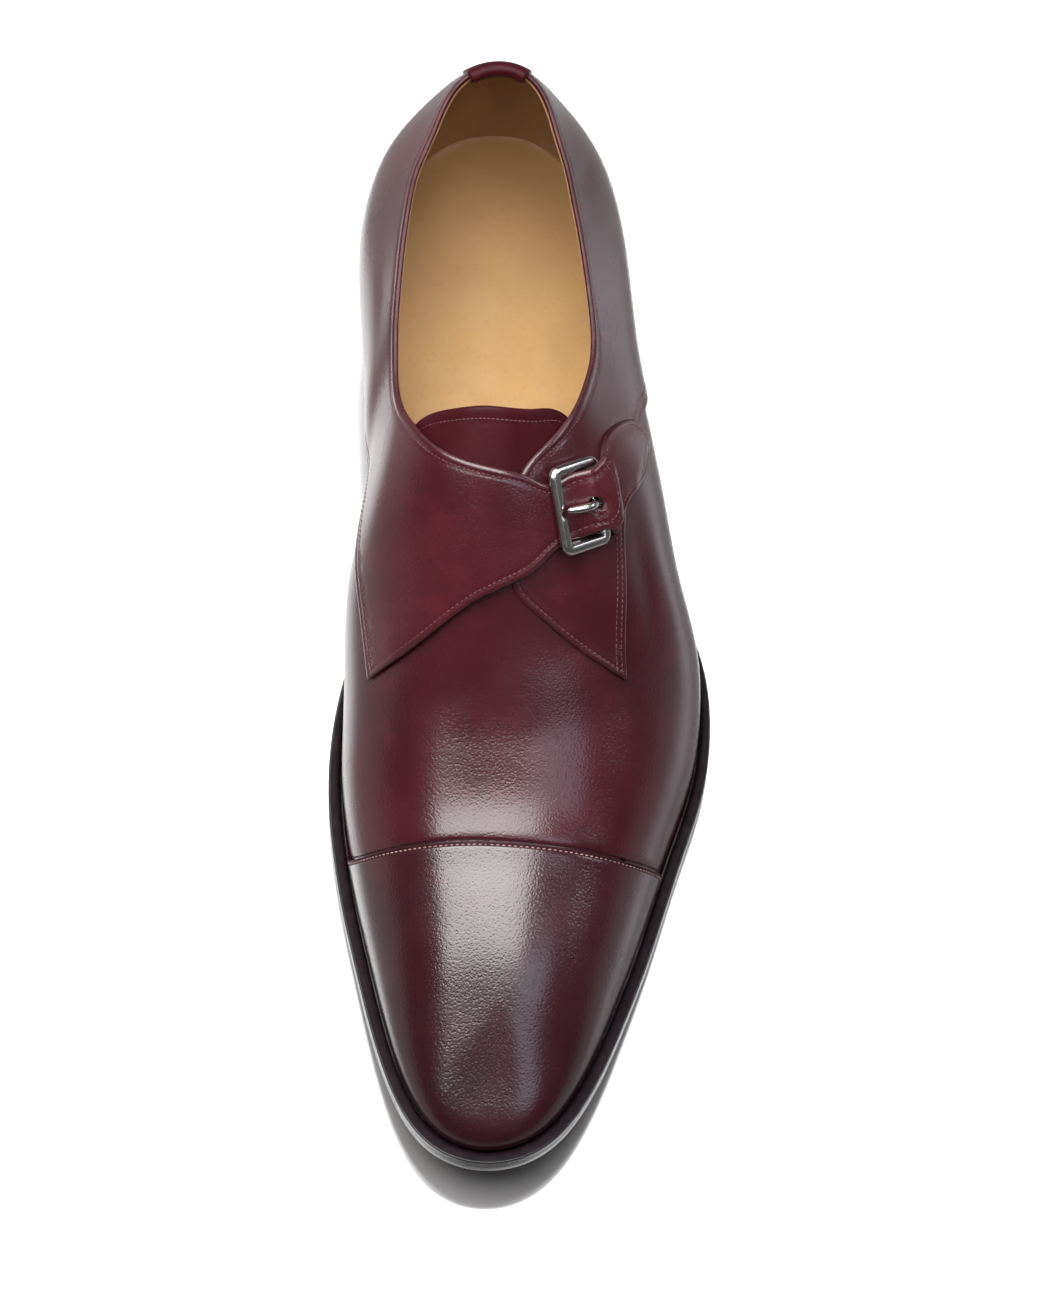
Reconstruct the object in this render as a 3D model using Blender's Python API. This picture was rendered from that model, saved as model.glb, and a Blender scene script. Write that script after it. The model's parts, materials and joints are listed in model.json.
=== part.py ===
"""A left cap-toe monk-strap shoe: one hollow leather upper with its quarters, strap, tongue and buckle,
on a welted leather sole with a stacked heel.

Sizes are in millimetres and become metres when a mesh is made. +Z is up, the toe points along -Y, and +X is
the wearer's left, which is the outer (lateral) side of a left shoe. A place along the shoe is its station,
the distance from the back of the sole. A place on the upper is a station and a girth share: 0 on the ridge
of the instep, -1 on the feather line of the inner side and +1 on that of the outer side.
"""

import math

import bpy
import bmesh
import numpy as np
from mathutils import Vector
from mathutils.geometry import delaunay_2d_cdt

MM = 0.001

# Driving sizes
SOLE_LENGTH = 302.0
BALL_WIDTH = 105.0
INSTEP_HEIGHT = 100.0
HEEL_HEIGHT = 23.0
TOE_SPRING = 14.0

# Thicknesses and gaps
GAP = 0.3
SLACK = 0.5
WALL = 1.5
QUARTER_LEATHER = 1.2
CAP_LEATHER = 1.0
LASTED_EDGE = 1.0
LASTED_HEIGHT = 4.0
STEP_BEVEL = 0.25
STRAP_LEATHER = 1.9
STAY_LEATHER = 1.2
TONGUE_LEATHER = 1.8
OUTSOLE = 5.0
WELT = 2.4
INSOLE = 3.0
TOP_LIFT = 6.0

# Buckle and heel tab
BUCKLE_HALF_LONG = 12.4
BUCKLE_HALF_WIDE = 8.4
BAR_WIDE = 2.8
BAR_THICK = 2.2
HINGE_ROD = 1.8
TAB_SPREAD = 0.052

# Along the shoe
LAST_BACK = 2.4
LAST_TIP = 297.0
LAST_LENGTH = LAST_TIP - LAST_BACK
HEEL_FAN = 50.0
TOE_FAN = 262.0
FAN_SOFTNESS = 9.0
BALL_STATION = 197.0
SPRING_START = 211.0
SPRING_POWER = 1.8
SEAT_END = 77.0
HEEL_BREAST = 76.0
HEEL_TAPER = 1.6
TOE_SWING = 2.6
TOE_SLOPE = -0.32
ORIGIN_STATION = SOLE_LENGTH / 2
BOX_MIDDLE = (5.88, 0.93, 0.0)

# Feather line of the last: station, then half widths of the inner and outer side,
# as shares of the last's length and of the ball width.
FEATHER_LINE = (
    # station, inner, outer
    (0.000, 0.000, 0.000),
    (0.012, 0.132, 0.122),
    (0.045, 0.234, 0.216),
    (0.100, 0.296, 0.276),
    (0.160, 0.310, 0.302),
    (0.240, 0.285, 0.322),
    (0.330, 0.237, 0.352),
    (0.400, 0.240, 0.394),
    (0.465, 0.304, 0.448),
    (0.520, 0.358, 0.503),
    (0.573, 0.391, 0.517),
    (0.630, 0.401, 0.497),
    (0.700, 0.386, 0.434),
    (0.775, 0.351, 0.366),
    (0.850, 0.301, 0.297),
    (0.910, 0.246, 0.241),
    (0.955, 0.187, 0.185),
    (0.985, 0.118, 0.118),
    (1.000, 0.000, 0.000),
)
# Wall of the upper, up from the feather line: how far the widest point stands out and how high it is,
# and how far in from the feather line and how high the neck is (the topline, or the shoulder of the vamp).
# Everything is in millimetres, and the stations are those of the feather line.
WALL_ROWS = (
    # station, inner_out, outer_out, inner_rise, outer_rise, inner_neck_in, outer_neck_in, neck_rise
    (0.000, 3.0, 3.0, 21.0, 21.0, 6.8, 6.8, 62.0),
    (0.012, 3.1, 3.0, 21.3, 21.3, 8.8, 8.8, 60.5),
    (0.040, 3.4, 3.0, 22.0, 22.0, 12.4, 13.2, 57.0),
    (0.100, 4.0, 3.0, 23.0, 23.0, 10.0, 12.4, 55.0),
    (0.180, 5.0, 3.0, 24.0, 23.0, 5.5, 9.5, 53.5),
    (0.260, 7.6, 3.6, 26.0, 22.0, 2.0, 10.0, 54.5),
    (0.330, 10.5, 4.8, 27.0, 22.0, -1.0, 12.5, 58.0),
    (0.400, 10.5, 4.4, 25.0, 21.0, -2.0, 13.0, 61.0),
    (0.465, 8.9, 3.0, 22.0, 18.0, 1.5, 15.5, 57.5),
    (0.520, 4.8, 1.8, 17.5, 15.0, 7.5, 17.0, 52.0),
    (0.573, 1.8, 1.2, 14.0, 13.0, 11.0, 17.5, 46.5),
    (0.630, 1.2, 1.0, 12.5, 12.0, 12.5, 16.5, 41.8),
    (0.700, 0.8, 0.8, 11.0, 10.5, 12.5, 14.0, 36.3),
    (0.775, 0.5, 0.5, 9.5, 9.0, 10.5, 11.5, 30.3),
    (0.850, 0.3, 0.3, 8.5, 8.0, 8.5, 9.0, 23.8),
    (0.930, 0.2, 0.2, 6.2, 6.2, 8.0, 8.2, 16.4),
    (1.000, 0.2, 0.2, 3.6, 3.6, 9.0, 9.0, 9.9),
)
# Ridge of the last: height over the floor as a share of the instep height, and sideways place in millimetres.
RIDGE_ROWS = (
    # station share of the sole, height, sideways
    (0.150, 1.300, -1.0),
    (0.260, 1.240, -2.0),
    (0.340, 1.130, -3.0),
    (0.400, 1.030, -4.0),
    (0.450, 0.945, -4.5),
    (0.515, 0.810, -5.0),
    (0.580, 0.675, -5.0),
    (0.650, 0.565, -5.0),
    (0.720, 0.490, -4.5),
    (0.760, 0.466, -3.8),
    (0.790, 0.446, -3.0),
    (0.830, 0.415, -1.7),
    (0.870, 0.376, -0.5),
)
# How far the sole stands out past the feather line.
EDGE_ROWS = (
    # station share of the last, inner, outer
    (0.000, 3.0, 3.0),
    (0.200, 3.4, 3.0),
    (0.330, 4.2, 3.0),
    (0.400, 4.4, 3.2),
    (0.460, 4.0, 3.6),
    (0.540, 4.2, 4.2),
    (0.620, 4.8, 4.7),
    (0.800, 5.2, 5.1),
    (1.000, 5.0, 5.0),
)


def column(rows, index):
    return np.array([row[index] for row in rows], float)


class Spline:
    """A cubic spline through knots, with no curvature at its ends."""

    def __init__(self, knots, values):
        self.x = np.asarray(knots, float)
        self.y = np.asarray(values, float)
        n = len(self.x)
        h = np.diff(self.x)
        matrix = np.eye(n)
        right = np.zeros(n)
        for i in range(1, n - 1):
            matrix[i, i - 1 : i + 2] = h[i - 1], 2 * (h[i - 1] + h[i]), h[i]
            right[i] = 6 * ((self.y[i + 1] - self.y[i]) / h[i] - (self.y[i] - self.y[i - 1]) / h[i - 1])
        self.m = np.linalg.solve(matrix, right)

    def __call__(self, x):
        x = np.clip(x, self.x[0], self.x[-1])
        i = np.clip(np.searchsorted(self.x, x, side="right") - 1, 0, len(self.x) - 2)
        h = self.x[i + 1] - self.x[i]
        a = (self.x[i + 1] - x) / h
        b = (x - self.x[i]) / h
        bend = ((a**3 - a) * self.m[i] + (b**3 - b) * self.m[i + 1]) * h * h / 6
        return a * self.y[i] + b * self.y[i + 1] + bend


def turn_of(share):
    """The share of a half turn that gives this share of a length, so that round ends stay round."""
    return np.arccos(1 - 2 * np.clip(share, 0, 1)) / math.pi


def share_of(turn):
    return (1 - np.cos(math.pi * np.asarray(turn, float))) / 2


def station_of(turn):
    return LAST_BACK + share_of(turn) * LAST_LENGTH


def smooth_step(x, start, end):
    t = np.clip((np.asarray(x, float) - start) / (end - start), 0, 1)
    return t * t * (3 - 2 * t)


def round_spline(turns, values, mirror):
    """A spline over a half turn that goes on past both ends, mirrored (1) or mirrored and negated (-1)."""
    turns = np.concatenate([-turns[3:0:-1], turns, 2 - turns[-2:-5:-1]])
    values = np.concatenate([mirror * values[3:0:-1], values, mirror * values[-2:-5:-1]])
    return Spline(turns, values)


FEATHER_TURNS = turn_of(column(FEATHER_LINE, 0))
FEATHER = [round_spline(FEATHER_TURNS, column(FEATHER_LINE, i) * BALL_WIDTH, -1) for i in (1, 2)]
WALL_TURNS = turn_of(column(WALL_ROWS, 0))
WALL_OUT = [round_spline(WALL_TURNS, column(WALL_ROWS, i), 1) for i in (1, 2)]
WALL_RISE = [round_spline(WALL_TURNS, column(WALL_ROWS, i), 1) for i in (3, 4)]
NECK_IN = [round_spline(WALL_TURNS, column(WALL_ROWS, i), 1) for i in (5, 6)]
NECK_RISE = round_spline(WALL_TURNS, column(WALL_ROWS, 7), 1)
RIDGE_STATIONS = column(RIDGE_ROWS, 0) * SOLE_LENGTH
RIDGE_Z = Spline(RIDGE_STATIONS, column(RIDGE_ROWS, 1) * INSTEP_HEIGHT)
RIDGE_X = Spline(RIDGE_STATIONS, column(RIDGE_ROWS, 2))
EDGE_TURNS = turn_of(column(EDGE_ROWS, 0))
EDGE_OUT = [Spline(EDGE_TURNS, column(EDGE_ROWS, i)) for i in (1, 2)]


def tread_z(station):
    """Height of the outsole's underside: level under the heel, down the shank, flat at the ball, up at the toe."""
    station = np.asarray(station, float)
    shank = HEEL_HEIGHT * (1 - smooth_step(station, SEAT_END, BALL_STATION - 12))
    spring = np.clip((station - SPRING_START) / (SOLE_LENGTH - SPRING_START), 0, None)
    return shank + TOE_SPRING * spring**SPRING_POWER


def bed_z(station):
    """Height of the outsole's top."""
    return tread_z(station) + OUTSOLE


def swing(station):
    """How far the toe turns towards the inner side."""
    return TOE_SWING * smooth_step(station, 235.0, 325.0) * 2


def soft_clamp(x, low, high, softness):
    """x, held between two limits with rounded corners."""
    over = softness * np.logaddexp(0, (x - high) / softness)
    under = softness * np.logaddexp(0, (low - x) / softness)
    return x - over + under


def four_knot_curve(knots, values, at, end_slope=None):
    """A cubic through four knots for each row, read at one place in each row. It starts with no curvature and
    ends with none, or at a given slope."""
    h = np.diff(knots, axis=1)
    slope = np.diff(values, axis=1) / h
    n = len(knots)
    matrix = np.zeros((n, 4, 4))
    right = np.zeros((n, 4))
    matrix[:, 0, 0] = 1
    for i in (1, 2):
        matrix[:, i, i - 1] = h[:, i - 1]
        matrix[:, i, i] = 2 * (h[:, i - 1] + h[:, i])
        matrix[:, i, i + 1] = h[:, i]
        right[:, i] = 6 * (slope[:, i] - slope[:, i - 1])
    if end_slope is not None:
        matrix[:, 3, 2] = h[:, 2]
        matrix[:, 3, 3] = 2 * h[:, 2]
        right[:, 3] = 6 * (end_slope - slope[:, 2])
    else:
        matrix[:, 3, 3] = 1
    m = np.linalg.solve(matrix, right[..., None])[..., 0]
    i = np.clip((at[:, None] >= knots[:, 1:3]).sum(axis=1), 0, 2)
    row = np.arange(n)
    width = h[row, i]
    a = (knots[row, i + 1] - at) / width
    b = (at - knots[row, i]) / width
    bend = ((a**3 - a) * m[row, i] + (b**3 - b) * m[row, i + 1]) * width**2 / 6
    return a * values[row, i] + b * values[row, i + 1] + bend


def rib(turn, side):
    """The four places a rib of the last passes, feather line, widest point, neck and ridge, as distances in
    from the ridge and heights, with the ridge's place and the rib's outward direction."""
    turn = np.asarray(turn, float)
    side = np.asarray(side, int)

    def pick(pair):
        return np.where(side > 0, pair[1](turn), pair[0](turn))

    station = LAST_BACK + share_of(turn) * LAST_LENGTH
    feather_x = np.where(side > 0, 1, -1) * pick(FEATHER) - swing(station)
    feather = np.stack([feather_x, ORIGIN_STATION - station], axis=1)
    top_station = soft_clamp(station, HEEL_FAN, TOE_FAN, FAN_SOFTNESS)
    ridge = np.stack([RIDGE_X(top_station) - swing(top_station), ORIGIN_STATION - top_station], axis=1)
    reach = feather - ridge
    width = np.maximum(np.linalg.norm(reach, axis=1), 1e-6)
    outward = reach / width[:, None]
    base = bed_z(station) + GAP
    distance = np.stack([width, width + pick(WALL_OUT), width - pick(NECK_IN), 0 * width], axis=1)
    height = np.stack([base, base + pick(WALL_RISE), base + NECK_RISE(turn), RIDGE_Z(top_station)], axis=1)
    return distance, height, ridge, outward


def chord_knots(distance, height):
    steps = np.hypot(np.diff(distance, axis=1), np.diff(height, axis=1))
    return np.concatenate([np.zeros((len(distance), 1)), np.cumsum(steps, axis=1)], axis=1)


def last_point(turn, girth):
    """Points of the last's outer skin at these half-turn shares and girth shares."""
    turn = np.clip(np.asarray(turn, float), 0, 1)
    girth = np.asarray(girth, float)
    distance, height, ridge, outward = rib(turn, np.where(girth > 0, 1, -1))
    knots = chord_knots(distance, height)
    at = (1 - np.abs(girth)) * knots[:, 3]
    r = four_knot_curve(knots, distance, at)
    end_slope = TOE_SLOPE * outward[:, 1] * smooth_step(station_of(turn), 232.0, TOE_FAN)
    z = four_knot_curve(knots, height, at, end_slope)
    return np.concatenate([ridge + outward * r[:, None], z[:, None]], axis=1)


def skin(turn, girth, lift=0.0):
    """Points lifted off the last's outer skin along its normal. Close to the feather line they are lifted level."""
    turn, girth, lift = np.broadcast_arrays(*(np.atleast_1d(np.asarray(a, float)) for a in (turn, girth, lift)))
    step = 2e-3
    point = last_point(turn, girth)
    if not np.any(lift):
        return point
    along = last_point(np.minimum(turn + step, 1), girth) - last_point(np.maximum(turn - step, 0), girth)
    inner = np.where(girth > 0, np.minimum(girth + step, 1), np.minimum(girth + step, 0))
    outer = np.where(girth > 0, np.maximum(girth - step, 0), np.maximum(girth - step, -1))
    across = last_point(turn, inner) - last_point(turn, outer)
    normal = np.cross(along, across)
    height = smooth_step(1 - np.abs(girth), 0.0, 0.12)
    normal[:, 2] *= height
    normal /= np.maximum(np.linalg.norm(normal, axis=1), 1e-9)[:, None]
    lifted = point + normal * lift[:, None]
    slope = bed_z(ORIGIN_STATION - lifted[:, 1]) - bed_z(ORIGIN_STATION - point[:, 1])
    lifted[:, 2] += slope * (1 - height)
    return lifted


def flat(turn, girth):
    """The pattern plane: the upper opened out flat round its ridge, in millimetres."""
    turn = np.clip(np.asarray(turn, float), 0, 1)
    girth = np.asarray(girth, float)
    distance, height, ridge, outward = rib(turn, np.where(girth > 0, 1, -1))
    length = chord_knots(distance, height)[:, 3]
    return ridge + outward * (np.abs(girth) * length)[:, None]


RIB_TURNS = np.linspace(0, 1, 601)


def unflat(points):
    """Half-turn share and girth share of points of the pattern plane."""
    points = np.asarray(points, float)
    best_turn = np.zeros(len(points))
    best_girth = np.zeros(len(points))
    best_miss = np.full(len(points), np.inf)
    for side in (-1, 1):
        distance, height, ridge, outward = rib(RIB_TURNS, np.full(len(RIB_TURNS), side))
        length = chord_knots(distance, height)[:, 3]
        away = points[:, None, :] - ridge[None, :, :]
        across = outward[None, :, 0] * away[:, :, 1] - outward[None, :, 1] * away[:, :, 0]
        along = (outward[None] * away).sum(axis=2)
        crossing = (across[:, :-1] * across[:, 1:] <= 0) & (along[:, :-1] > -0.5)
        found = crossing.any(axis=1)
        i = np.where(found, np.argmax(crossing, axis=1), 0)
        row = np.arange(len(points))
        a, b = across[row, i], across[row, i + 1]
        share = np.where(found, a / np.where(np.abs(a - b) < 1e-12, 1, a - b), 0)
        near = np.argmin(np.where(along > -0.5, np.abs(across), np.inf), axis=1)
        turn = np.where(found, RIB_TURNS[i] + share * (RIB_TURNS[1] - RIB_TURNS[0]), RIB_TURNS[near])
        reach = np.where(found, along[row, i] * (1 - share) + along[row, i + 1] * share, along[row, near])
        girth = side * np.maximum(reach, 0) / np.interp(turn, RIB_TURNS, length)
        miss = np.where(found, 0, np.abs(across[row, near]))
        better = miss < best_miss
        best_turn[better] = turn[better]
        best_girth[better] = girth[better]
        best_miss[better] = miss[better]
    return best_turn, best_girth


def turn_at(station):
    return turn_of((np.asarray(station, float) - LAST_BACK) / LAST_LENGTH)


def trace(rows, spacing=4.0):
    """A smooth line of the pattern plane through (station, girth) knots."""
    knots = flat(turn_at(column(rows, 0)), column(rows, 1))
    if len(rows) == 2:
        middle = flat(turn_at([(rows[0][0] + rows[1][0]) / 2]), np.array([(rows[0][1] + rows[1][1]) / 2]))
        knots = np.array([knots[0], middle[0], knots[1]])
    steps = np.concatenate([[0], np.cumsum(np.linalg.norm(np.diff(knots, axis=0), axis=1))])
    count = max(2, int(math.ceil(steps[-1] / spacing)))
    at = np.linspace(0, steps[-1], count + 1)
    return np.stack([Spline(steps, knots[:, 0])(at), Spline(steps, knots[:, 1])(at)], axis=1)


def join(*lines):
    """Lines end to end as one loop, without repeated points."""
    points = np.concatenate(lines)
    keep = np.linalg.norm(points - np.roll(points, 1, axis=0), axis=1) > 0.05
    return points[keep]


def offset(loop, distance):
    """A loop of the pattern plane moved sideways, to its left for a positive distance."""
    before = loop - np.roll(loop, 1, axis=0)
    after = np.roll(loop, -1, axis=0) - loop
    before /= np.linalg.norm(before, axis=1)[:, None]
    after /= np.linalg.norm(after, axis=1)[:, None]
    normal = np.stack([-(before + after)[:, 1], (before + after)[:, 0]], axis=1)
    normal /= np.maximum(np.linalg.norm(normal, axis=1), 1e-9)[:, None]
    corner = np.stack([-after[:, 1], after[:, 0]], axis=1)
    stretch = np.clip((normal * corner).sum(axis=1), 0.5, 1)
    return loop + normal * (distance / stretch)[:, None]


def inside(points, loop):
    """Which points lie inside a loop."""
    points = np.asarray(points, float)
    a = loop
    b = np.roll(loop, -1, axis=0)
    y = points[:, 1][:, None]
    spans = (a[:, 1] > y) != (b[:, 1] > y)
    rise = np.where(np.abs(b[:, 1] - a[:, 1]) < 1e-12, 1e-12, b[:, 1] - a[:, 1])
    cut = a[:, 0] + (y - a[:, 1]) / rise * (b[:, 0] - a[:, 0])
    return (spans & (points[:, 0][:, None] < cut)).sum(axis=1) % 2 == 1


def distance_to(points, loop):
    """Distance of each point from a loop's line."""
    a = loop
    b = np.roll(loop, -1, axis=0)
    edge = b - a
    away = points[:, None, :] - a[None]
    share = np.clip((away * edge[None]).sum(axis=2) / np.maximum((edge**2).sum(axis=1), 1e-12)[None], 0, 1)
    return np.linalg.norm(away - share[:, :, None] * edge[None], axis=2).min(axis=1)


def lattice(spacing, girths, least):
    """Points of the pattern plane on the last's ribs, thinned where the ribs run together."""
    count = int(LAST_LENGTH * 1.25 / spacing)
    turns = np.linspace(0, 1, count + 1)
    kept = []
    for level in sorted(girths, reverse=True):
        for side in ((-1, 1) if level > 0 else (1,)):
            ring = flat(turns, np.full(len(turns), side * max(level, 1e-6)))
            for point in ring:
                if not kept or np.min(np.linalg.norm(np.array(kept) - point, axis=1)) > least:
                    kept.append(point)
    return np.array(kept)


def leather(outline, holes, lines, lifts, seeds, clearance):
    """One closed sheet of leather on the last: its outline and holes in the pattern plane, extra lines that its
    mesh follows, and a function that gives its lower and upper lift at each point."""
    loops = [outline] + list(holes) + list(lines)
    good = inside(seeds, outline)
    for hole in holes:
        good &= ~inside(seeds, hole)
    for loop in loops:
        good &= distance_to(seeds, loop) > clearance
    points = [Vector(p) for loop in loops for p in loop] + [Vector(p) for p in seeds[good]]
    edges = []
    start = 0
    for loop in loops:
        n = len(loop)
        edges += [(start + i, start + (i + 1) % n) for i in range(n)]
        start += n
    flat_points, _, faces, _, _, _ = delaunay_2d_cdt(points, edges, [], 0, 1e-4)
    flat_points = np.array([(p[0], p[1]) for p in flat_points])
    faces = np.array([f for f in faces if len(f) == 3])
    centre = flat_points[faces].mean(axis=1)
    used = inside(centre, outline)
    for hole in holes:
        used &= ~inside(centre, hole)
    faces = faces[used]
    a, b, c = (flat_points[faces[:, i]] for i in range(3))
    area = (b - a)[:, 0] * (c - a)[:, 1] - (b - a)[:, 1] * (c - a)[:, 0]
    faces = faces[np.abs(area) > 1e-6]
    area = area[np.abs(area) > 1e-6]
    faces[area < 0] = faces[area < 0][:, ::-1]
    names = np.unique(faces)
    renumber = np.full(len(flat_points), -1)
    renumber[names] = np.arange(len(names))
    faces = renumber[faces]
    flat_points = flat_points[names]
    turn, girth = unflat(flat_points)
    low, high = lifts(flat_points, turn, girth)
    n = len(names)
    verts = np.concatenate([skin(turn, girth, high), skin(turn, girth, low)])
    around = {}
    for f in faces:
        for i in range(3):
            around[(int(f[i]), int(f[(i + 1) % 3]))] = True
    tris = [tuple(f) for f in faces] + [(f[2] + n, f[1] + n, f[0] + n) for f in faces]
    for p, q in around:
        if (q, p) not in around:
            tris += [(q, p, p + n), (q, p + n, q + n)]
    return verts, tris


def make_object(name, verts, faces, material):
    """A mesh object in metres, over the middle of the shoe's box, with its faces turned outward."""
    mesh = bpy.data.meshes.new(name)
    bm = bmesh.new()
    corners = [bm.verts.new((Vector(v) - Vector(BOX_MIDDLE)) * MM) for v in verts]
    for face in faces:
        if len(set(face)) == len(face):
            bm.faces.new([corners[i] for i in face])
    loose = [v for v in bm.verts if not v.link_faces]
    bmesh.ops.delete(bm, geom=loose, context="VERTS")
    bmesh.ops.recalc_face_normals(bm, faces=bm.faces)
    if bm.calc_volume(signed=True) < 0:
        bmesh.ops.reverse_faces(bm, faces=bm.faces)
    bm.to_mesh(mesh)
    bm.free()
    item = bpy.data.objects.new(name, mesh)
    bpy.context.collection.objects.link(item)
    mesh.materials.append(material)
    return item


def material(name, colour, roughness, metallic=0.0):
    item = bpy.data.materials.new(name)
    item.use_nodes = True
    shader = item.node_tree.nodes["Principled BSDF"]
    shader.inputs["Base Color"].default_value = (*colour, 1)
    shader.inputs["Roughness"].default_value = roughness
    shader.inputs["Metallic"].default_value = metallic
    return item


# Pattern lines, as (station in millimetres, girth share) knots.
COLLAR_OUTER = ((LAST_BACK, 0.462), (6.0, 0.466), (12.0, 0.470), (28.0, 0.466), (50.0, 0.452), (67.0, 0.453),
                (79.0, 0.452), (88.0, 0.436), (101.0, 0.357), (115.0, 0.240), (123.0, 0.163), (131.0, 0.093),
                (142.0, 0.066), (153.0, 0.068))
THROAT_END = ((153.0, 0.068), (154.0, -0.100), (153.0, -0.360))
THROAT_INNER = ((153.0, -0.360), (130.0, -0.364), (113.0, -0.374), (101.0, -0.425), (92.0, -0.457))
COLLAR_INNER = ((92.0, -0.457), (83.0, -0.474), (70.0, -0.476), (52.0, -0.464), (35.0, -0.466), (14.0, -0.470),
                (6.0, -0.466), (LAST_BACK, -0.462))
QUARTER_OUTER = ((72.0, 1.060), (80.0, 0.930), (86.0, 0.840), (92.0, 0.750), (103.0, 0.605), (115.0, 0.510),
                 (131.0, 0.432), (151.0, 0.414), (165.0, 0.415), (175.0, 0.430))
WING_FRONT = ((175.0, 0.430), (169.3, 0.258), (162.4, 0.133), (157.6, 0.078), (153.0, 0.068))
THROAT_PAST = ((153.0, 0.068), (140.0, -0.050), (100.0, -0.250), (82.0, -0.360), (84.0, -0.440))
QUARTER_TOP = ((84.0, -0.440), (93.0, -0.455), (110.0, -0.466), (135.0, -0.488), (171.5, -0.498))
QUARTER_INNER = ((171.5, -0.498), (162.0, -0.512), (150.0, -0.524), (141.0, -0.536), (130.0, -0.555),
                 (118.0, -0.605), (107.0, -0.690), (98.0, -0.800), (90.0, -0.930), (84.0, -1.060))
CAP_SEAM = ((203.0, -1.080), (209.5, -0.950), (214.0, -0.800), (217.5, -0.500), (218.8, -0.250), (219.6, 0.000),
            (220.4, 0.300), (220.2, 0.600), (217.5, 0.850), (213.0, 1.080))
FLAP_BACK = ((96.0, 0.250), (105.0, 0.345), (130.0, 0.330), (156.0, 0.330))
FLAP_FRONT = ((156.0, 0.330), (156.0, 0.050), (140.0, 0.000), (96.0, 0.250))
STRAP_TOP = ((94.0, -0.445), (106.0, -0.366), (113.5, -0.285), (119.0, -0.220), (124.0, -0.150), (128.2, -0.056),
             (130.4, 0.050), (131.6, 0.115), (132.6, 0.155), (129.0, 0.212), (126.0, 0.262), (122.6, 0.292))
STRAP_END = ((122.6, 0.292), (124.8, 0.322), (129.5, 0.347), (134.0, 0.356), (138.0, 0.345), (140.2, 0.322))
STRAP_LOW = ((140.2, 0.322), (140.6, 0.292), (143.6, 0.247), (147.0, 0.190), (152.5, 0.132), (156.0, 0.070),
             (160.3, -0.031), (165.0, -0.152), (169.3, -0.305), (171.0, -0.488))
STRAP_START = ((171.0, -0.488), (135.0, -0.477), (110.0, -0.456), (94.0, -0.445))
TONGUE_TOP = ((118.0, -0.345), (114.4, -0.322), (112.8, -0.260), (114.2, -0.150), (115.6, 0.000), (114.6, 0.150),
              (112.8, 0.230), (114.2, 0.272), (118.0, 0.285))
TONGUE_OUTER = ((118.0, 0.285), (138.0, 0.285), (162.0, 0.260))
TONGUE_FRONT = ((162.0, 0.260), (163.0, 0.000), (162.0, -0.320))
TONGUE_INNER = ((162.0, -0.320), (138.0, -0.342), (118.0, -0.345))
STAY_EDGE = ((127.0, 0.324), (119.0, 0.340), (112.0, 0.405), (107.0, 0.487), (106.0, 0.548), (109.6, 0.597),
             (116.4, 0.570), (125.5, 0.480), (132.4, 0.415), (140.2, 0.360), (138.9, 0.350))
STAY_LUG_LOW = ((138.9, 0.350), (139.0, 0.320), (138.7, 0.300), (137.5, 0.292), (134.8, 0.286))
STAY_SLOT = ((134.8, 0.286), (134.9, 0.318), (133.2, 0.338), (131.3, 0.316), (131.2, 0.278))
STAY_LUG_TOP = ((131.2, 0.278), (128.2, 0.269), (127.1, 0.275), (127.0, 0.324))
BUCKLE_CORNERS = ((130.1, 0.150, 5.7), (149.7, 0.205, 5.6), (141.6, 0.328, 4.6), (121.5, 0.288, 4.6))
BUCKLE_SLANT = 0.0026
STRAP_HOLE = (134.5, 0.272)


def feather_loop(girth=1.0, count=110):
    turns = np.linspace(0, 1, count + 1)
    outer = flat(turns, np.full(len(turns), girth))
    inner = flat(turns[1:-1][::-1], np.full(len(turns) - 2, -girth))
    return np.concatenate([outer, inner])


def opening_loop(spacing=4.0):
    """The edge of the opening: the collar, the wing of the outer quarter and the throat under the strap."""
    return join(trace(COLLAR_OUTER, spacing), trace(THROAT_END, spacing), trace(THROAT_INNER, spacing),
                trace(COLLAR_INNER, spacing))


def vamp_loop(spacing=4.0):
    """The part of the upper that lies below both quarters, run past the opening and the feather line."""
    outer = flat(turn_at([72.0]), np.array([1.5]))
    inner = flat(turn_at([84.0]), np.array([-1.5]))
    ahead = np.array([(-160.0, -60.0), (-140.0, -260.0), (140.0, -260.0), (160.0, -60.0)])
    return join(trace(QUARTER_OUTER, spacing), trace(WING_FRONT, spacing), trace(THROAT_PAST, spacing),
                trace(QUARTER_TOP, spacing), trace(QUARTER_INNER, spacing), inner, ahead, outer)


def cap_loop(spacing=4.0):
    """The toe cap, run past the feather line."""
    ahead = np.array([(120.0, -120.0), (120.0, -240.0), (-120.0, -240.0), (-120.0, -120.0)])
    return join(trace(CAP_SEAM, spacing), ahead)


def flap_loop(spacing=4.0):
    """The part of the wing that lies over the tongue."""
    return join(trace(FLAP_BACK, spacing), trace(FLAP_FRONT, spacing))


def edge_distance(turn, girth):
    """Millimetres from the feather line, along the skin."""
    distance, height, _, _ = rib(turn, np.where(girth > 0, 1, -1))
    return (1 - np.abs(girth)) * chord_knots(distance, height)[:, 3]


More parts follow.
